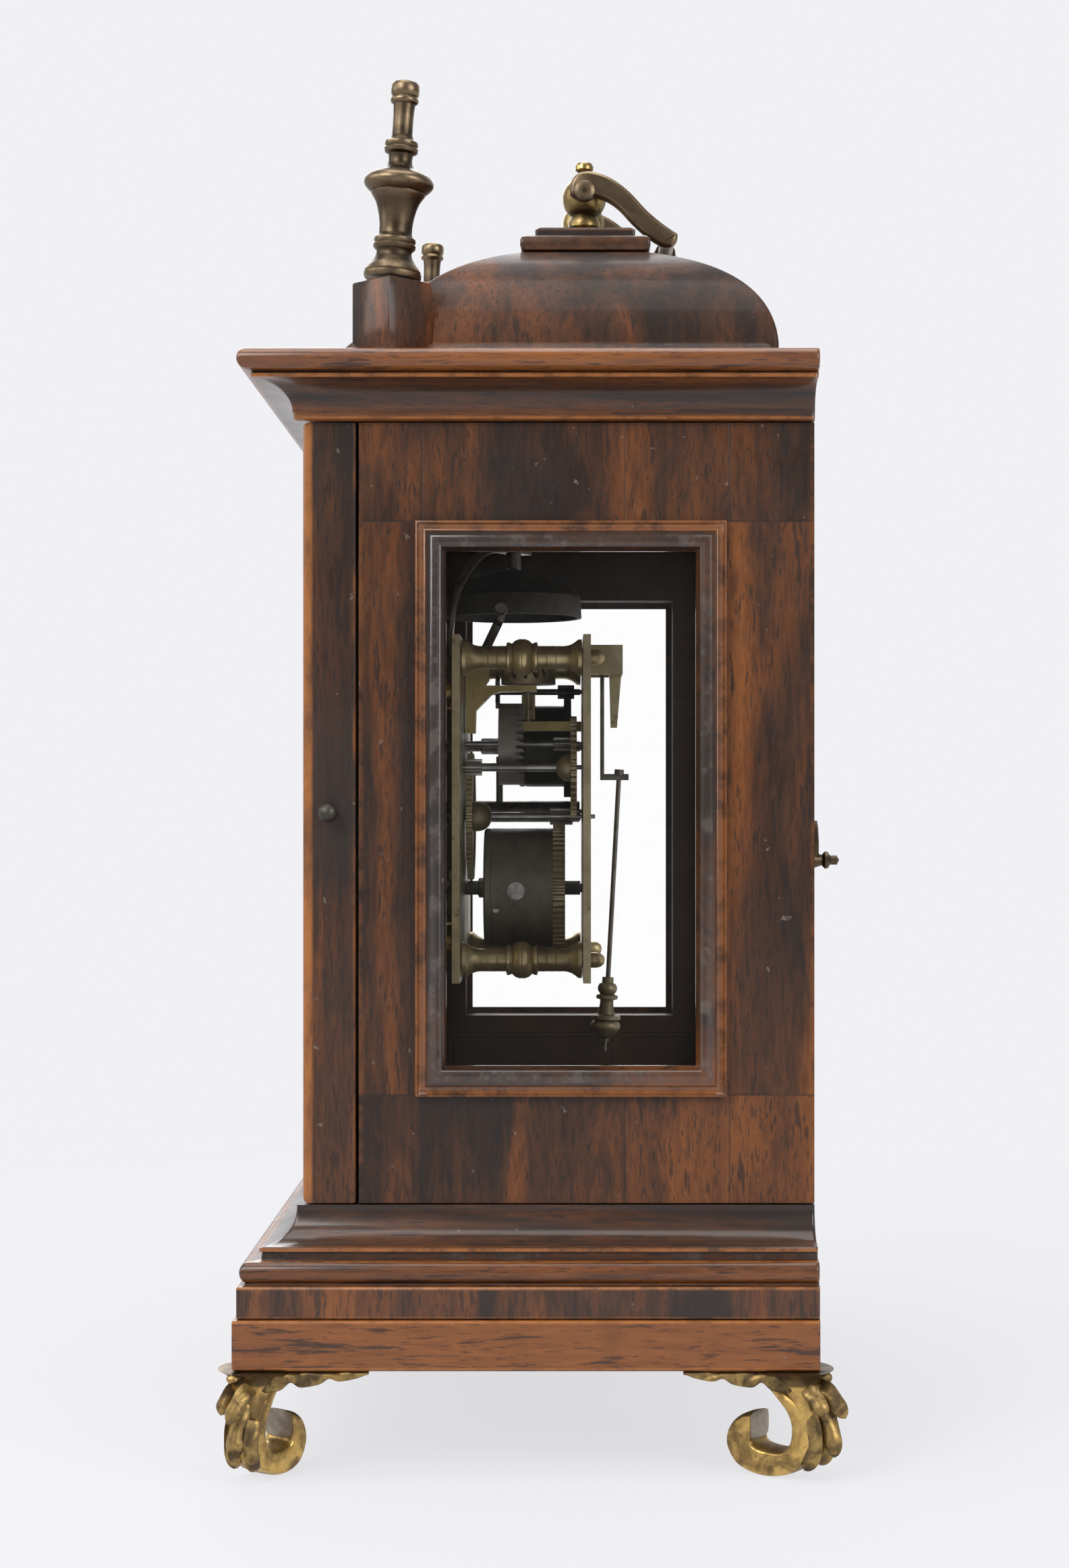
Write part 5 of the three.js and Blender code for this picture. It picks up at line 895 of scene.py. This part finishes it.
def foot(corner_x, corner_y, turn, twist, reach):
    """Scroll foot on the diagonal of a corner: gilt scroll, darker leaves and the worn end of the scroll.

    The scroll's section is a rounded oblong between the strap's two edges, with raised borders on its
    flanks; the neck is a stack of ellipses.
    """
    made, leaves, end = shells = Shell(), Shell(), Shell()
    inner, outer = strap_edge(STRAP[:, :2], reach), strap_edge(STRAP[:, 2:], reach)
    mid, half = (inner + outer)[:, None] / 2, (outer - inner)[:, None] / 2
    cos, sin = np.cos(around(40)), np.sin(around(40))
    over, wide = squared(cos, 0.55), squared(sin, 0.5)
    ridge = np.exp(-(((np.abs(over) - 0.8) / 0.12) ** 2)) * (np.abs(wide) > 0.55)
    w = wide * (np.clip(2.2 + 1.5 * np.linalg.norm(half, axis=-1), 3.2, 5.2) + 0.35 * ridge)
    flat = mid + half * over[:, None]
    grid = np.stack([flat[..., 0], w, np.clip(flat[..., 1], 0.0, FOOT_TOP)], -1)
    # Wear drops along the strap's inner edge, so the inside of the curl comes out darker: painted shade in
    # the scroll's hollow; the raised borders get more wear
    made.skin(grid, (0.62 + 0.3 * ridge - 0.25 * (over < -0.6))[None])
    cut = grid[-1] + (0.12, 0, 0)
    raised = (cut + (0.1, 0, 0) - cut.mean(0)) * (1, 0.8, 0.85) + cut.mean(0)
    end.skin(np.stack([grid[-1] * (1, 0.93, 1) + (-0.3, 0, 0), cut * (1, 0.93, 1), raised]), 0.5)
    z, near, far, girth = (NECK[:, k : k + 1] for k in range(4))
    s = (near + far) / 2 + (near - far) / 2 * cos
    wear = (0.75 + 0.1 * cos) * np.where(z > 26, 0.15, 1)
    made.skin(np.stack([s, girth * sin, np.repeat(z, 40, 1)], -1), wear)
    for path, width, thick, aside in LEAVES:
        leaf(leaves, path, width, thick, aside)
    swung(shells, twist, (-8, 0, 0), (-8, 0, 0))
    for side in (1, -1):
        spread_leaf(leaves, side)
    swung(shells, turn, (0, 0, 0), (corner_x, corner_y, -RISE))
    return shells


for name, x, y, turn, reach in (
    ("front_right", FOOT_X, FOOT_FRONT, -PI / 4, 0.8), ("front_left", -FOOT_X, FOOT_FRONT, -3 * PI / 4, 0.8),
    ("rear_right", FOOT_X, BACK, PI / 4, 1.0), ("rear_left", -FOOT_X, BACK, 3 * PI / 4, 1.0),
):
    scroll, leaves, end = foot(x, y, turn, math.copysign(FOOT_TWIST, x), reach)
    finish_piece(f"scroll_foot_{name}", scroll, gilt, "case", [f"foot_{name}"], 50)
    finish_piece(f"foot_leaves_{name}", leaves, metals["leaf_bronze"], "case", (), 75)
    finish_piece(f"scroll_end_{name}", end, worn, "case", (), 40)

# Front door: one section, with eased arrises and a rebate for the glass, mitred round the opening

stile = np.concatenate(
    [
        [[0, -64.7], [0, -76.9]],
        arc(1.7, -76.9, 1.7, 1.7, PI, 1.5 * PI, 6)[1:],
        [[22.4, -78.6], [23.6, -78.3], [24.4, -77.4], [24.6, -76.2], [24.6, -73.6], [22.0, -73.6]],
        [[22.0, -63.8], [0.9, -63.8], [0.25, -64.05]],
    ]
)
x, z, y = mitred((-HALF, BASE + 0.3), (HALF, TOP - 0.3), stile * (-1, 1))
arris = np.clip(1 - np.abs(stile[:, 0] - 0.4), 0, 1)
door = Shell().skin(np.stack([x, y, z], -1), (0.3 + 0.5 * arris)[None], ring=True)
finish_piece("door_frame", door, wood_door, "front_door", ["front_door"], 30)

# Knob and turn catch

knob_line = [[0, 0], [1.4, 0], [1.3, 1.6], [2.3, 2.2], [2.7, 3], [2.7, 4.2], [2.1, 5.6], [1.1, 6.3], [0, 6.5]]
knob = turned(Shell(), knob_line, "x", (HALF + 0.3, DOOR_FRONT + 7.4, 179.3), 28, True, 0.05)
finish_piece("door_pull", knob, dark_steel, "front_door", ["door_knob"], 50)
edge = np.concatenate(
    [
        bent((-1.6, 0), (-4.2, 6.6), (0, 11)),
        bent((0, 11), (4.2, 6.6), (1.6, 0))[1:],
        arc(0, 0, 1.6, 1.6, 0, -PI, 8)[1:-1],
    ]
)
rows = [(0.3, 0.9), (0.4, 1), (1.3, 1), (1.6, 0.86)]
grid = np.stack([np.column_stack([edge[:, 0] * k, np.full(len(edge), y), edge[:, 1] * k]) for y, k in rows])
catch = Shell().skin(grid + CATCH, 0.25)
stalk = [[0, 0.5], [2.2, 0.5], [1.5, 2.6], [2.4, 3.4], [2.4, 4.2], [1.3, 5], [1.3, 6.8], [0, 7.5]]
turned(catch, stalk, "y", CATCH, 24, True, 0.3)
finish_piece("catch_leaf", catch, bronze, "turn_catch", ["turn_catch"])

# Movement frame

PILLAR = [
    [0, -2.3], [2.3, -2.3], [2.3, 0.3], [5.5, 0.3], [5.5, 1.4], [5.0, 2], [4, 3.5], [3.5, 5.4], [3.5, 8],
    [3.35, 8.15], [3.5, 8.3], [3.5, 10.8], [3.35, 10.95], [3.5, 11.1], [3.5, 13.6], [4.6, 13.9], [4.6, 14.6],
    [4.2, 15.4], [5.2, 16.5], [5.6, 17.7], [5.6, 18.35], [5.4, 18.5], [5.6, 18.65], [5.6, 19.3], [5.2, 20.5],
    [4.2, 21.6], [4.6, 22.4], [4.6, 23.1], [3.5, 23.4], [3.5, 25.9], [3.35, 26.05], [3.5, 26.2], [3.5, 28.7],
    [3.35, 28.85], [3.5, 29], [3.5, 31.6], [4, 33.5], [5.0, 35], [5.5, 35.6], [5.5, 36.7], [2.3, 36.7],
    [2.3, 41.6], [1.2, 43.4], [0, 43.7],
]
for row, z in PILLAR_ROWS:
    for side, x in (("right", PILLAR_X), ("left", -PILLAR_X)):
        pillar = turned(Shell(), PILLAR, "y", (x, INSIDE_A, z), 44)
        stands_for = [f"pillar_{row}_{side}"]
        name = f"turned_pillar_{row}_{side}"
        finish_piece(name, pillar, metals["pillar_brass"], "case", stands_for, 26)

# Going train


def drum_line(bore, r, front, back, ease, depth):
    """Section of a spring barrel's wall: eased front edge and the groove of its cover."""
    eased = front + ease
    groove = [[r, eased + 1.2], [r - depth, eased + 1.4], [r - depth, eased + 1.7], [r, eased + 1.9]]
    return [[bore, front], [r - ease, front], [r, eased], *groove, [r, back], [bore, back]]


great = wheel(Shell(), GREAT, 64, GREAT_MODULE, PI / 2, -9.7, -5.9, 3.0)
finish_piece("great_wheel", great, brass, "barrel", ["going_barrel"], 30)
drum = drum_line(2.6, 18.8, -31.3, -9.4, 0.6, 0.15)
spring_box = hollow(Shell(), drum, "y", (GREAT[0], 0, GREAT[1]), 84, 0.5)
finish_piece("spring_barrel", spring_box, metals["barrel_brass"], "barrel", (), 30)
plug = [[0, 18.2], [2.75, 18.2], [2.75, 18.8], [2.5, 18.95], [0, 19.0]]
lead = turned(Shell(), plug, "x", (GREAT[0], -21.1, GREAT[1] - 0.4), 30, False, 0.95)
chip = [[0, 17.6], [1.0, 17.6], [0.9, 17.75], [0, 17.8]]
turned(lead, chip, "x", (GREAT[0], -27.4, GREAT[1] - 6.2), 16, False, 0.95)
finish_piece("lead_plug", lead, metals["lead"], "barrel", (), 30)

to_third = math.atan2(THIRD[1] - CENTRE[1], THIRD[0])
to_contrate = math.atan2(CONTRATE[1] - THIRD[1], CONTRATE[0] - THIRD[0])
centre = wheel(Shell(), CENTRE, 64, CENTRE_MODULE, to_third, -36.6, -34.7, 16.7, 5.4)
boss = [[0, -35.6], [4.6, -35], [4.75, -33.4], [4.3, -31.6], [3.2, -30.1], [1.5, -29.2], [0, -29.1]]
arbor(centre, boss, CENTRE, 32, smooth=True)
finish_piece("centre_wheel", centre, brass, "centre", ["centre_arbor"])
centre_staff = pinion(Shell(), CENTRE, 8, GREAT_MODULE, -PI / 2, -10.7, -3.5)
pinion(centre_staff, CENTRE, 8, 0.75, 0, PLATE_A - 6, PLATE_A - 2.4)
arbor(centre_staff, [[0, -64.6], [1.3, -64.6], [1.3, -1], [0.7, -1], [0.7, 3.6], [0, 3.6]], CENTRE, 28)
finish_piece("centre_staff", centre_staff, steel, "centre")

third = wheel(Shell(), THIRD, 45, THIRD_MODULE, to_contrate, -4.2, -2.3, 12.4, 4.2)
boss = [[0, -8.8], [1.4, -8.7], [2.6, -8], [4.1, -6.2], [4.3, -4.4], [4.2, -3.4], [0, -3.3]]
arbor(third, boss, THIRD, 28, smooth=True)
finish_piece("third_wheel", third, brass, "third", ["third_arbor"])
third_staff = pinion(Shell(), THIRD, 8, CENTRE_MODULE, to_third + PI, INSIDE_A + 0.6, -31.7)
staff(third_staff, THIRD, 1.3, -2.2, 24)
finish_piece("third_staff", third_staff, steel, "third")

a, p = in_teeth(36, 12, PI / 2)
tooth = np.clip((0.34 - np.abs((p + 0.5) % 1 - 0.5)) / 0.26, 0, 1)
heights = -21.4 + 2.465 * np.sin(tooth * PI / 2)
contrate = crowned(Shell(), (CONTRATE[0], 0, CONTRATE[1]), 11.59, 12.89, -26.8, heights, a, "y")
arbor(contrate, [[0, -26.8], [12, -26.8], [12, -25.6], [3, -25.6], [2.6, -23.8], [0, -23.8]], CONTRATE, 60)
dull = metals["dull_steel"]
finish_piece("contrate_wheel", contrate, dull, "contrate", ["contrate_arbor"])
contrate_staff = pinion(Shell(), CONTRATE, 6, THIRD_MODULE, to_contrate + PI, -9.6, -2.4)
staff(contrate_staff, CONTRATE, 1, -2.2, 20)
finish_piece("contrate_staff", contrate_staff, steel, "contrate")

# Escapement and pendulum

CROWN_Y = -17.507
LEAF_LOW = CONTRATE[1] + 7.84
LEAF_HIGH, CROWN_FLOOR = LEAF_LOW + 8, LEAF_LOW + 11
CROWN_LOW, CROWN_TIP = CROWN_FLOOR + 1.4, VERGE[1] - 2.2 * math.cos(0.6) - 0.3
a, p = in_teeth(15, 16)
# Each tooth has a flat tip, a hollow back and a steep face
back = CROWN_TIP - (CROWN_TIP - CROWN_LOW) * np.sin(np.clip((p - 0.12) / 0.7, 0, 1) * PI / 2)
heights = np.where(p < 0.12, CROWN_TIP, back)
heights = np.where(p > 0.93, CROWN_LOW + (CROWN_TIP - CROWN_LOW) * (p - 0.93) / 0.07, heights)
crown = crowned(Shell(), (0, CROWN_Y, 0), 7.5, 8.6, CROWN_FLOOR, heights, a, "z")
pinion(crown, (0, CROWN_Y, 0), 6, 0.68, -PI / 2, LEAF_LOW, LEAF_HIGH, "z")
stem = [[0, LEAF_LOW - 2.4], [0.7, LEAF_LOW - 2.4], [0.7, LEAF_LOW - 0.4], [1, LEAF_LOW - 0.4]]
stem += [[1, LEAF_HIGH + 0.4], [0.7, LEAF_HIGH + 0.4], [0.7, CROWN_FLOOR], [8.1, CROWN_FLOOR]]
stem += [[8.1, CROWN_FLOOR + 1], [0, CROWN_FLOOR + 1]]
turned(crown, stem, "z", (0, CROWN_Y, 0), 40, False, 0.4)
finish_piece("escape_crown", crown, brass, "crown", ["crown_wheel"])

crutch_y, verge_end, foot_z = PLATE_B + 3.4, PLATE_B + 9.5, VERGE[1] - 36.6
shoulder = crutch_y + 1.9
shaft = [[0, -36.6], [0.9, -36.6], [0.9, shoulder], [0.7, shoulder], [0.7, verge_end], [0, verge_end]]
verge = arbor(Shell(), shaft, VERGE, 20)
for y, lean in ((CROWN_Y - 8.1, 0.78), (CROWN_Y + 8.1, -0.78)):
    tip = np.array([-math.sin(lean), 0, -math.cos(lean)])
    path = np.array([VERGE[0], y, VERGE[1]]) + np.linspace(0.1, 2.2, 5)[:, None] * tip
    carried(verge, path, (0, 1, 0), oblong(2.2, 0.9, 0.3, 12), 0.5)
height = np.linspace(VERGE[1] + 1.8, foot_z - 1, 24)
path = np.column_stack([np.zeros(24), np.full(24, crutch_y + 0.65), height])
taper = np.column_stack([np.ones(24), 2.4 + 1.2 * np.linspace(1, 0, 24) ** 3])
carried(verge, path, (0, 1, 0), oblong(1.3, 1, 0.25, 14) * taper[:, None])
path = np.column_stack([np.zeros(10), np.linspace(crutch_y + 0.2, crutch_y + 9, 10), np.full(10, foot_z)])
carried(verge, path, (0, 0, 1), oblong(2, 2.4, 0.3, 14))
ROD_LEAN, BOB_DROP = 0.054, 64.6
rod_top = np.array([VERGE[0], crutch_y + 6, foot_z + 1.2])
down = np.array([0, -math.sin(ROD_LEAN), -math.cos(ROD_LEAN)])
circle = np.column_stack([np.cos(around(14)), np.sin(around(14))])
for radius, end, count in ((0.75, 88, 40), (1.5, 0.6, 5)):
    carried(verge, rod_top + np.linspace(-1.2, end, count)[:, None] * down, (0, 1, 0), radius * circle)
finish_piece("verge_staff_and_rod", verge, dark_steel, "pendulum", ["verge_and_pendulum"])

BOB = [
    [1, 0], [1.8, 0], [1.8, -1.8], [2.6, -2.2], [3, -3], [3, -4.2], [2.2, -5.4], [3.4, -5.8], [3.4, -6.8],
    [2.1, -7.2], [2.2, -9], [2.7, -11.6], [4.6, -12.2], [4.6, -13.2], [3.6, -13.6], [4.4, -14.4],
    [4.7, -15.4], [4.4, -16.6], [2.6, -18.6], [1.2, -19.4], [1.2, -20.4], [1, -20.4],
]
line = fair(BOB, 0.5)
fore = np.array([0, math.cos(ROD_LEAN), -math.sin(ROD_LEAN)])
radial = np.cos(around(32))[:, None] * np.array([1.0, 0, 0]) + np.sin(around(32))[:, None] * fore
grid = rod_top + BOB_DROP * down + line[:, :1, None] * radial - line[:, None, 1:] * down
bob = Shell().skin(grid, rubbed(line)[:, None], ring=True)
finish_piece("turned_bob", bob, metals["bob_brass"], "bob", ["pendulum_bob"], 40)

# Motion work

MINUTE = (MINUTE_X, CENTRE[1])
minute = wheel(Shell(), MINUTE, 24, 0.75, PI, PLATE_A - 5.1, PLATE_A - 3.6, 1.0)
pinion(minute, MINUTE, 6, 0.8, PI, PLATE_A - 8.9, PLATE_A - 4.9)
post = [[0, PLATE_A - 9.7], [1.1, PLATE_A - 9.7], [1.1, PLATE_A - 0.3], [0, PLATE_A - 0.3]]
arbor(minute, post, MINUTE, 16)
finish_piece("minute_work", minute, brass, "minute_wheel", ["minute_wheel"])
hour = wheel(Shell(), CENTRE, 24, 0.8, 0, PLATE_A - 8.3, PLATE_A - 6.8, 1.75)
pipe = [[1.65, -62], [3.1, -62], [3.1, PLATE_A - 7], [1.65, PLATE_A - 7]]
hollow(hour, pipe, "y", (CENTRE[0], 0, CENTRE[1]), 28)
finish_piece("hour_work", hour, brass, "hour", ["hour_wheel"])

# Alarm train, bell and hammer

alarm = wheel(Shell(), ALARM, 48, ALARM_MODULE, STAR_ANGLE, -6.3, -3.9, 2.2)
drum = drum_line(2.2, 13.2, -20.9, -6, 0.5, 0.2)
hollow(alarm, drum, "y", (ALARM[0], 0, ALARM[1]), 60)
# The alarm barrel sits on the far side and is coloured near black as painted shade
black = metals["painted_shade_drum"]
alarm_body = "alarm_barrel"
finish_piece("alarm_wheel_and_barrel", alarm, black, alarm_body, [alarm_body], 30)

star = pinion(Shell(), STAR, 6, ALARM_MODULE, STAR_ANGLE + PI, -8.3, -2.9)
a, p = in_teeth(9, 12)
r = 3.3 + 2.2 * np.maximum(np.clip(1 - p / 0.24, 0, 1), np.clip((p - 0.3) / 0.7, 0, 1) ** 1.5)
x, z = STAR[0] + r * np.cos(a), STAR[1] + r * np.sin(a)
star.skin(np.stack([np.column_stack([x, np.full(len(x), y), z]) for y in (-28.5, -27.1)]), 0.4)
staff(star, STAR, 1, -1, 18)
finish_piece("alarm_star_wheel", star, dark_steel, "alarm_arbor", ["alarm_arbor"])

rod = [[0, -39.5], [0.7, -39.5], [0.7, -35.3], [3.2, -35.3], [3.5, -35], [3.5, -1.4], [3.2, -1.1]]
lever = arbor(Shell(), [*rod, [0.7, -1.1], [0.7, 1.5], [0, 1.5]], LEVER, 32, 0.5)
path = np.column_stack([np.full(12, LEVER[0]), np.full(12, -27.4), LEVER[1] + np.linspace(2, 18, 12)])
taper = np.column_stack([np.ones(12), np.linspace(3.4, 2.2, 12)])
carried(lever, path, (0, 1, 0), oblong(2.2, 1, 0.3, 14) * taper[:, None])
finish_piece("let_off_arm", lever, dark_steel, "let_off_lever", ["let_off_lever"])

RIM, BELL_Y, BELL_TOP, BELL_RADIUS = 240.5, -22.2, 255.5, 21.5


def bell_line(r, drop):
    """One side of the bell's wall, from its rim to its crown."""
    skirt_edge = [[r, RIM], [r - 0.3, RIM + 6.4 - drop / 3], [r - 2, RIM + 8.2 - drop * 0.6]]
    crown_edge = [[r - 7.4, RIM + 12.4 - drop], [r - 13.6, BELL_TOP - 0.6 - drop], [2.0, BELL_TOP - drop]]
    return fair(skirt_edge + crown_edge, 1.0, 34)


wall = np.concatenate([bell_line(BELL_RADIUS, 0), bell_line(BELL_RADIUS - 1.4, 1.4)[::-1]])
# The crown gets no wear, so it comes out near black: painted shade on the bell's dome, with the skirt left
# lighter as if lit
bell = hollow(Shell(), wall, "z", (0, BELL_Y, 0), 72, np.where(wall[:, 1:] < RIM + 6.6, 0.5, 0.0))
finish_piece("bell_cup", bell, metals["bell_metal"], "case", ["bell"], 40)

strap_y = PLATE_A - 1.05
# Bell strap: places along it, and the way its face looks at each
STRAP_PATH = [
    [24, strap_y, 221.5], [24, strap_y, 228], [24, strap_y, 235.5], [23.6, strap_y + 2, 247],
    [18.5, strap_y + 7.4, 257.5], [9.05, BELL_Y - 5, 261.1], [0, BELL_Y, 261.5], [-5, BELL_Y + 2.6, 261.5],
]
STRAP_FACE = [[0, -1, 0]] * 3 + [[0.2, -1, 0.2], [0.3, -0.6, 0.8]] + [[0, 0, 1]] * 3
u = np.linspace(0, len(STRAP_PATH) - 1, 70)
stand = carried(Shell(), through(STRAP_PATH, u), between(STRAP_FACE, u), oblong(1.5, 7, 0.25, 18))
stud = [[0, 251.1], [2.6, 251.1], [2.6, 253.8], [1.5, 253.8], [1.5, 256.1]]
stud += [[2.4, 256.1], [2.4, 261.1], [0, 261.1]]
turned(stand, stud, "z", (0, BELL_Y, 0), 24, False, 0.4)
nut = [[0, 262], [3.2, 262], [3.2, 263.4], [2.6, 264.2], [0, 264.4]]
turned(stand, nut, "z", (0, BELL_Y, 0), 24, False, 0.5)
screw = [[0, -2.4], [2.6, -2.2], [3, -1.6], [3, -0.7], [0, -0.7]]
turned(stand, screw, "y", (24, strap_y, 225), 22, False, 0.6)
finish_piece("bell_strap", stand, dark_steel, "case", ["bell_stand"])

strike = staff(Shell(), HAMMER, 1.1, -1, 18)
head_x = math.sqrt(BELL_RADIUS**2 - 3.5**2) + 0.7
head_y, head_z = BELL_Y - 3.5, RIM + 1
line = fair([[0, 0], [0.3, 4], [0.62, 8.2], [1, 9.4], [1.02, 12.4]], 0.8, 170)
shank_x = HAMMER[0] + line[:, 0] * (head_x + 2.4 - HAMMER[0])
shank_y = head_y - 5 + 5 * np.clip(line[:, 1] / 10, 0, 1)
shank = np.column_stack([shank_x, shank_y, HAMMER[1] + line[:, 1]])
carried(strike, shank, (1, 0, 0.01), oblong(2, 2.8, 0.4, 14))
head = [[0, 0], [1.7, 0], [2.1, 0.5], [2.1, 4.4], [1.6, 5], [0, 5]]
turned(strike, head, "x", (head_x, head_y, head_z + 0.2), 24, False, 0.5)
finish_piece("bell_hammer", strike, dark_steel, "hammer", ["hammer"])

# Chapter ring: numerals, minute ring and dots are strokes of black wax let into the silvered face

RING_FACE, NUMERAL_LOW, NUMERAL_HIGH = -59.0, 53.0, 65.5
LETTERS = {"I": 2.6, "V": 6.0, "X": 6.0}
NUMERALS = ["XII", "I", "II", "III", "IIII", "V", "VI", "VII", "VIII", "IX", "X", "XI"]
marks = Shell()


def stroke(x0, z0, x1, z1, width, turn):
    """Stroke on the dial: a thin flat bar between two ends (across, out), turned round the dial's middle."""
    ends = np.array([[x0, z0], [x1, z1]], float)
    d = ends[1] - ends[0]
    n = np.array([-d[1], d[0]]) / np.linalg.norm(d) * width / 2
    flat = np.array([ends[0] - n, ends[1] - n, ends[1] + n, ends[0] + n])
    c, s = math.cos(turn), math.sin(turn)
    x, z = flat[:, 0] * c + flat[:, 1] * s, -flat[:, 0] * s + flat[:, 1] * c
    rows = [np.column_stack([x, np.full(4, y), z + CENTRE[1]]) for y in (RING_FACE - 0.14, RING_FACE + 0.1)]
    marks.skin(np.stack(rows), 0.5)


for hour_mark, word in enumerate(NUMERALS):
    turn = hour_mark * PI / 6
    x = -(sum(LETTERS[c] for c in word) + 0.7 * (len(word) - 1)) / 2
    for letter in word:
        w = LETTERS[letter]
        if letter == "I":
            stroke(x + w / 2, NUMERAL_LOW, x + w / 2, NUMERAL_HIGH, 1.5, turn)
        else:
            reach = w / 2 - 0.7 if letter == "X" else 0.15
            stroke(x + 0.9, NUMERAL_HIGH, x + w / 2 + reach, NUMERAL_LOW, 1.5, turn)
            stroke(x + w - 0.6, NUMERAL_HIGH, x + w / 2 - reach, NUMERAL_LOW, 0.6, turn)
        for serif in (NUMERAL_LOW, NUMERAL_HIGH):
            stroke(x + 0.1, serif, x + w - 0.1, serif, 0.5, turn)
        x += w + 0.7
    stroke(0, 50.6, 0, 51.8, 0.9, turn)
for tick in range(60):
    stroke(0, 69.2, 0, 71.8, 0.9 if tick % 5 == 0 else 0.4, tick * PI / 30)
for radius in (69.0, 72.0):
    thread = [[-0.12, -0.12], [0.12, -0.12], [0.12, 0.1], [-0.12, 0.1]]
    hollow(marks, np.array(thread) + (radius, RING_FACE), "y", (0, 0, CENTRE[1]), 96)
finish_piece("dial_figures", marks, metals["black_wax"], "case")

# Stage, camera and light, in metres

PALE = (0.876, 0.876, 0.905)
# Focal length and height of the photograph in pixels, and the height of the sensor in millimetres
FOCAL_PIXELS, PHOTO_PIXELS, SENSOR = 3790, 2324, 36
EYE = (0.8095, MIDDLE[1] * MM - 0.0065, 0.181 + RISE * MM)


def studio():
    """Pale floor that curves up into a backdrop: a quarter circle between two flats, carried across.

    Eyes, mirrors and glass see it as plain paper, darker under the clock, with a painted pool of white light
    on the backdrop behind its window.
    """
    start, turn_at, radius, height, columns = 3.0, -1.6, 1.2, 4.0, 9
    a = np.linspace(0, PI / 2, 14)
    bend = np.column_stack([turn_at - radius * np.sin(a), radius - radius * np.cos(a)])
    run = np.concatenate([[[start, 0.0]], bend, [[turn_at - radius, height]]])
    x, y = np.meshgrid(run[:, 0], np.linspace(-4, 4, columns), indexing="ij")
    grid = np.stack([x, y, np.repeat(run[:, 1:], columns, 1)], -1)
    index = np.arange(len(run) * columns).reshape(len(run), columns)
    quads = np.stack([index[:-1, :-1], index[1:, :-1], index[1:, 1:], index[:-1, 1:]], -1).reshape(-1, 4)
    mesh = bpy.data.meshes.new("studio_floor")
    mesh.from_pydata(grid.reshape(-1, 3).tolist(), [], quads[:, ::-1].tolist())
    mesh.shade_smooth()
    floor = bpy.data.objects.new("studio_floor", mesh)
    bpy.context.scene.collection.objects.link(floor)
    f = Finish("pale_paper", Base_Color=(0.62, 0.62, 0.64, 1), Roughness=1.0, Specular_IOR_Level=0.0)
    ray = f.tree.nodes.new("ShaderNodeLightPath").outputs
    seen = f.most(f.most(ray["Is Camera Ray"], ray["Is Glossy Ray"]), ray["Is Transmission Ray"])
    away = f.node("VectorMath", {0: f.object}, "Value", operation="LENGTH")
    share = f.times(seen, f.spread(away, 0.12, 0.6, 0.8, 1.0))
    # Painted pool of light: the backdrop seen through the window, behind the clock, glows plain white
    aside = f.sums("DIVIDE", f.gap(f.axis("Y"), EYE[1]), f.minus(EYE[0], f.axis("X")))
    painted_light_pool = f.times(f.spread(aside, 0.058, 0.09, 1.0, 0.0), f.spread(f.axis("X"), -0.8, -0.5, 1.0, 0.0))
    painted_light_pool = f.times(painted_light_pool, f.spread(f.axis("Z"), 0.55, 0.75, 1.0, 0.0))
    glow = f.node("Emission", {"Color": f.mix(painted_light_pool, PALE, (1.0, 1.0, 1.0))})
    f.feed(f.out, f.node("MixShader", {0: share, 1: f.shader.outputs[0], 2: glow}))
    mesh.materials.append(f.material)


def softbox(name, place, aim, size, watts):
    """Square soft lamp at a place, turned so that it faces its aim."""
    lamp = bpy.data.lights.new(name, "AREA")
    lamp.size, lamp.energy = size, watts
    holder = bpy.data.objects.new(name, lamp)
    bpy.context.scene.collection.objects.link(holder)
    holder.location = place
    x, y, z = np.array(aim, float) - np.array(place, float)
    holder.rotation_euler = (math.atan2(math.hypot(x, y), -z), 0, math.atan2(y, x) - PI / 2)


studio()
softbox("key_box", (1.3, -1.1, 1.3), (0.1, 0, 0.2), 1.0, 30)
softbox("fill_box", (1.2, 1.3, 0.8), (0.1, 0, 0.2), 1.0, 16)
softbox("top_box", (0.1, 0.0, 1.7), (0, 0, 0.2), 1.2, 16)
softbox("far_box", (-1.4, -0.3, 1.0), (0, 0, 0.2), 1.0, 12)
softbox("front_box", (0.2, -1.6, 0.9), (0, 0, 0.2), 1.0, 10)

# The air lights the clock softly, and the camera sees it as pale as the paper
world = bpy.data.worlds.new("studio_air")
bpy.context.scene.world = world
world.use_nodes = True
sky = world.node_tree
air = sky.nodes["Background"]
air.inputs["Color"].default_value = (0.9, 0.92, 0.96, 1)
air.inputs["Strength"].default_value = 0.32
pale_air = sky.nodes.new("ShaderNodeBackground")
pale_air.inputs["Color"].default_value = (*PALE, 1)
either = sky.nodes.new("ShaderNodeMixShader")
sky.links.new(sky.nodes.new("ShaderNodeLightPath").outputs["Is Camera Ray"], either.inputs[0])
sky.links.new(air.outputs[0], either.inputs[1])
sky.links.new(pale_air.outputs[0], either.inputs[2])
sky.links.new(either.outputs[0], sky.nodes["World Output"].inputs["Surface"])

lens = bpy.data.cameras.new("photo_lens")
lens.sensor_fit = "VERTICAL"
lens.sensor_height = SENSOR
lens.lens = FOCAL_PIXELS * SENSOR / PHOTO_PIXELS
lens.shift_x = -0.0183
lens.shift_y = 0.0142
camera = bpy.data.objects.new("photo_camera", lens)
bpy.context.scene.collection.objects.link(camera)
camera.location = EYE
camera.rotation_euler = (PI / 2, 0, PI / 2)
bpy.context.scene.camera = camera
bpy.context.scene.view_settings.view_transform = "Standard"
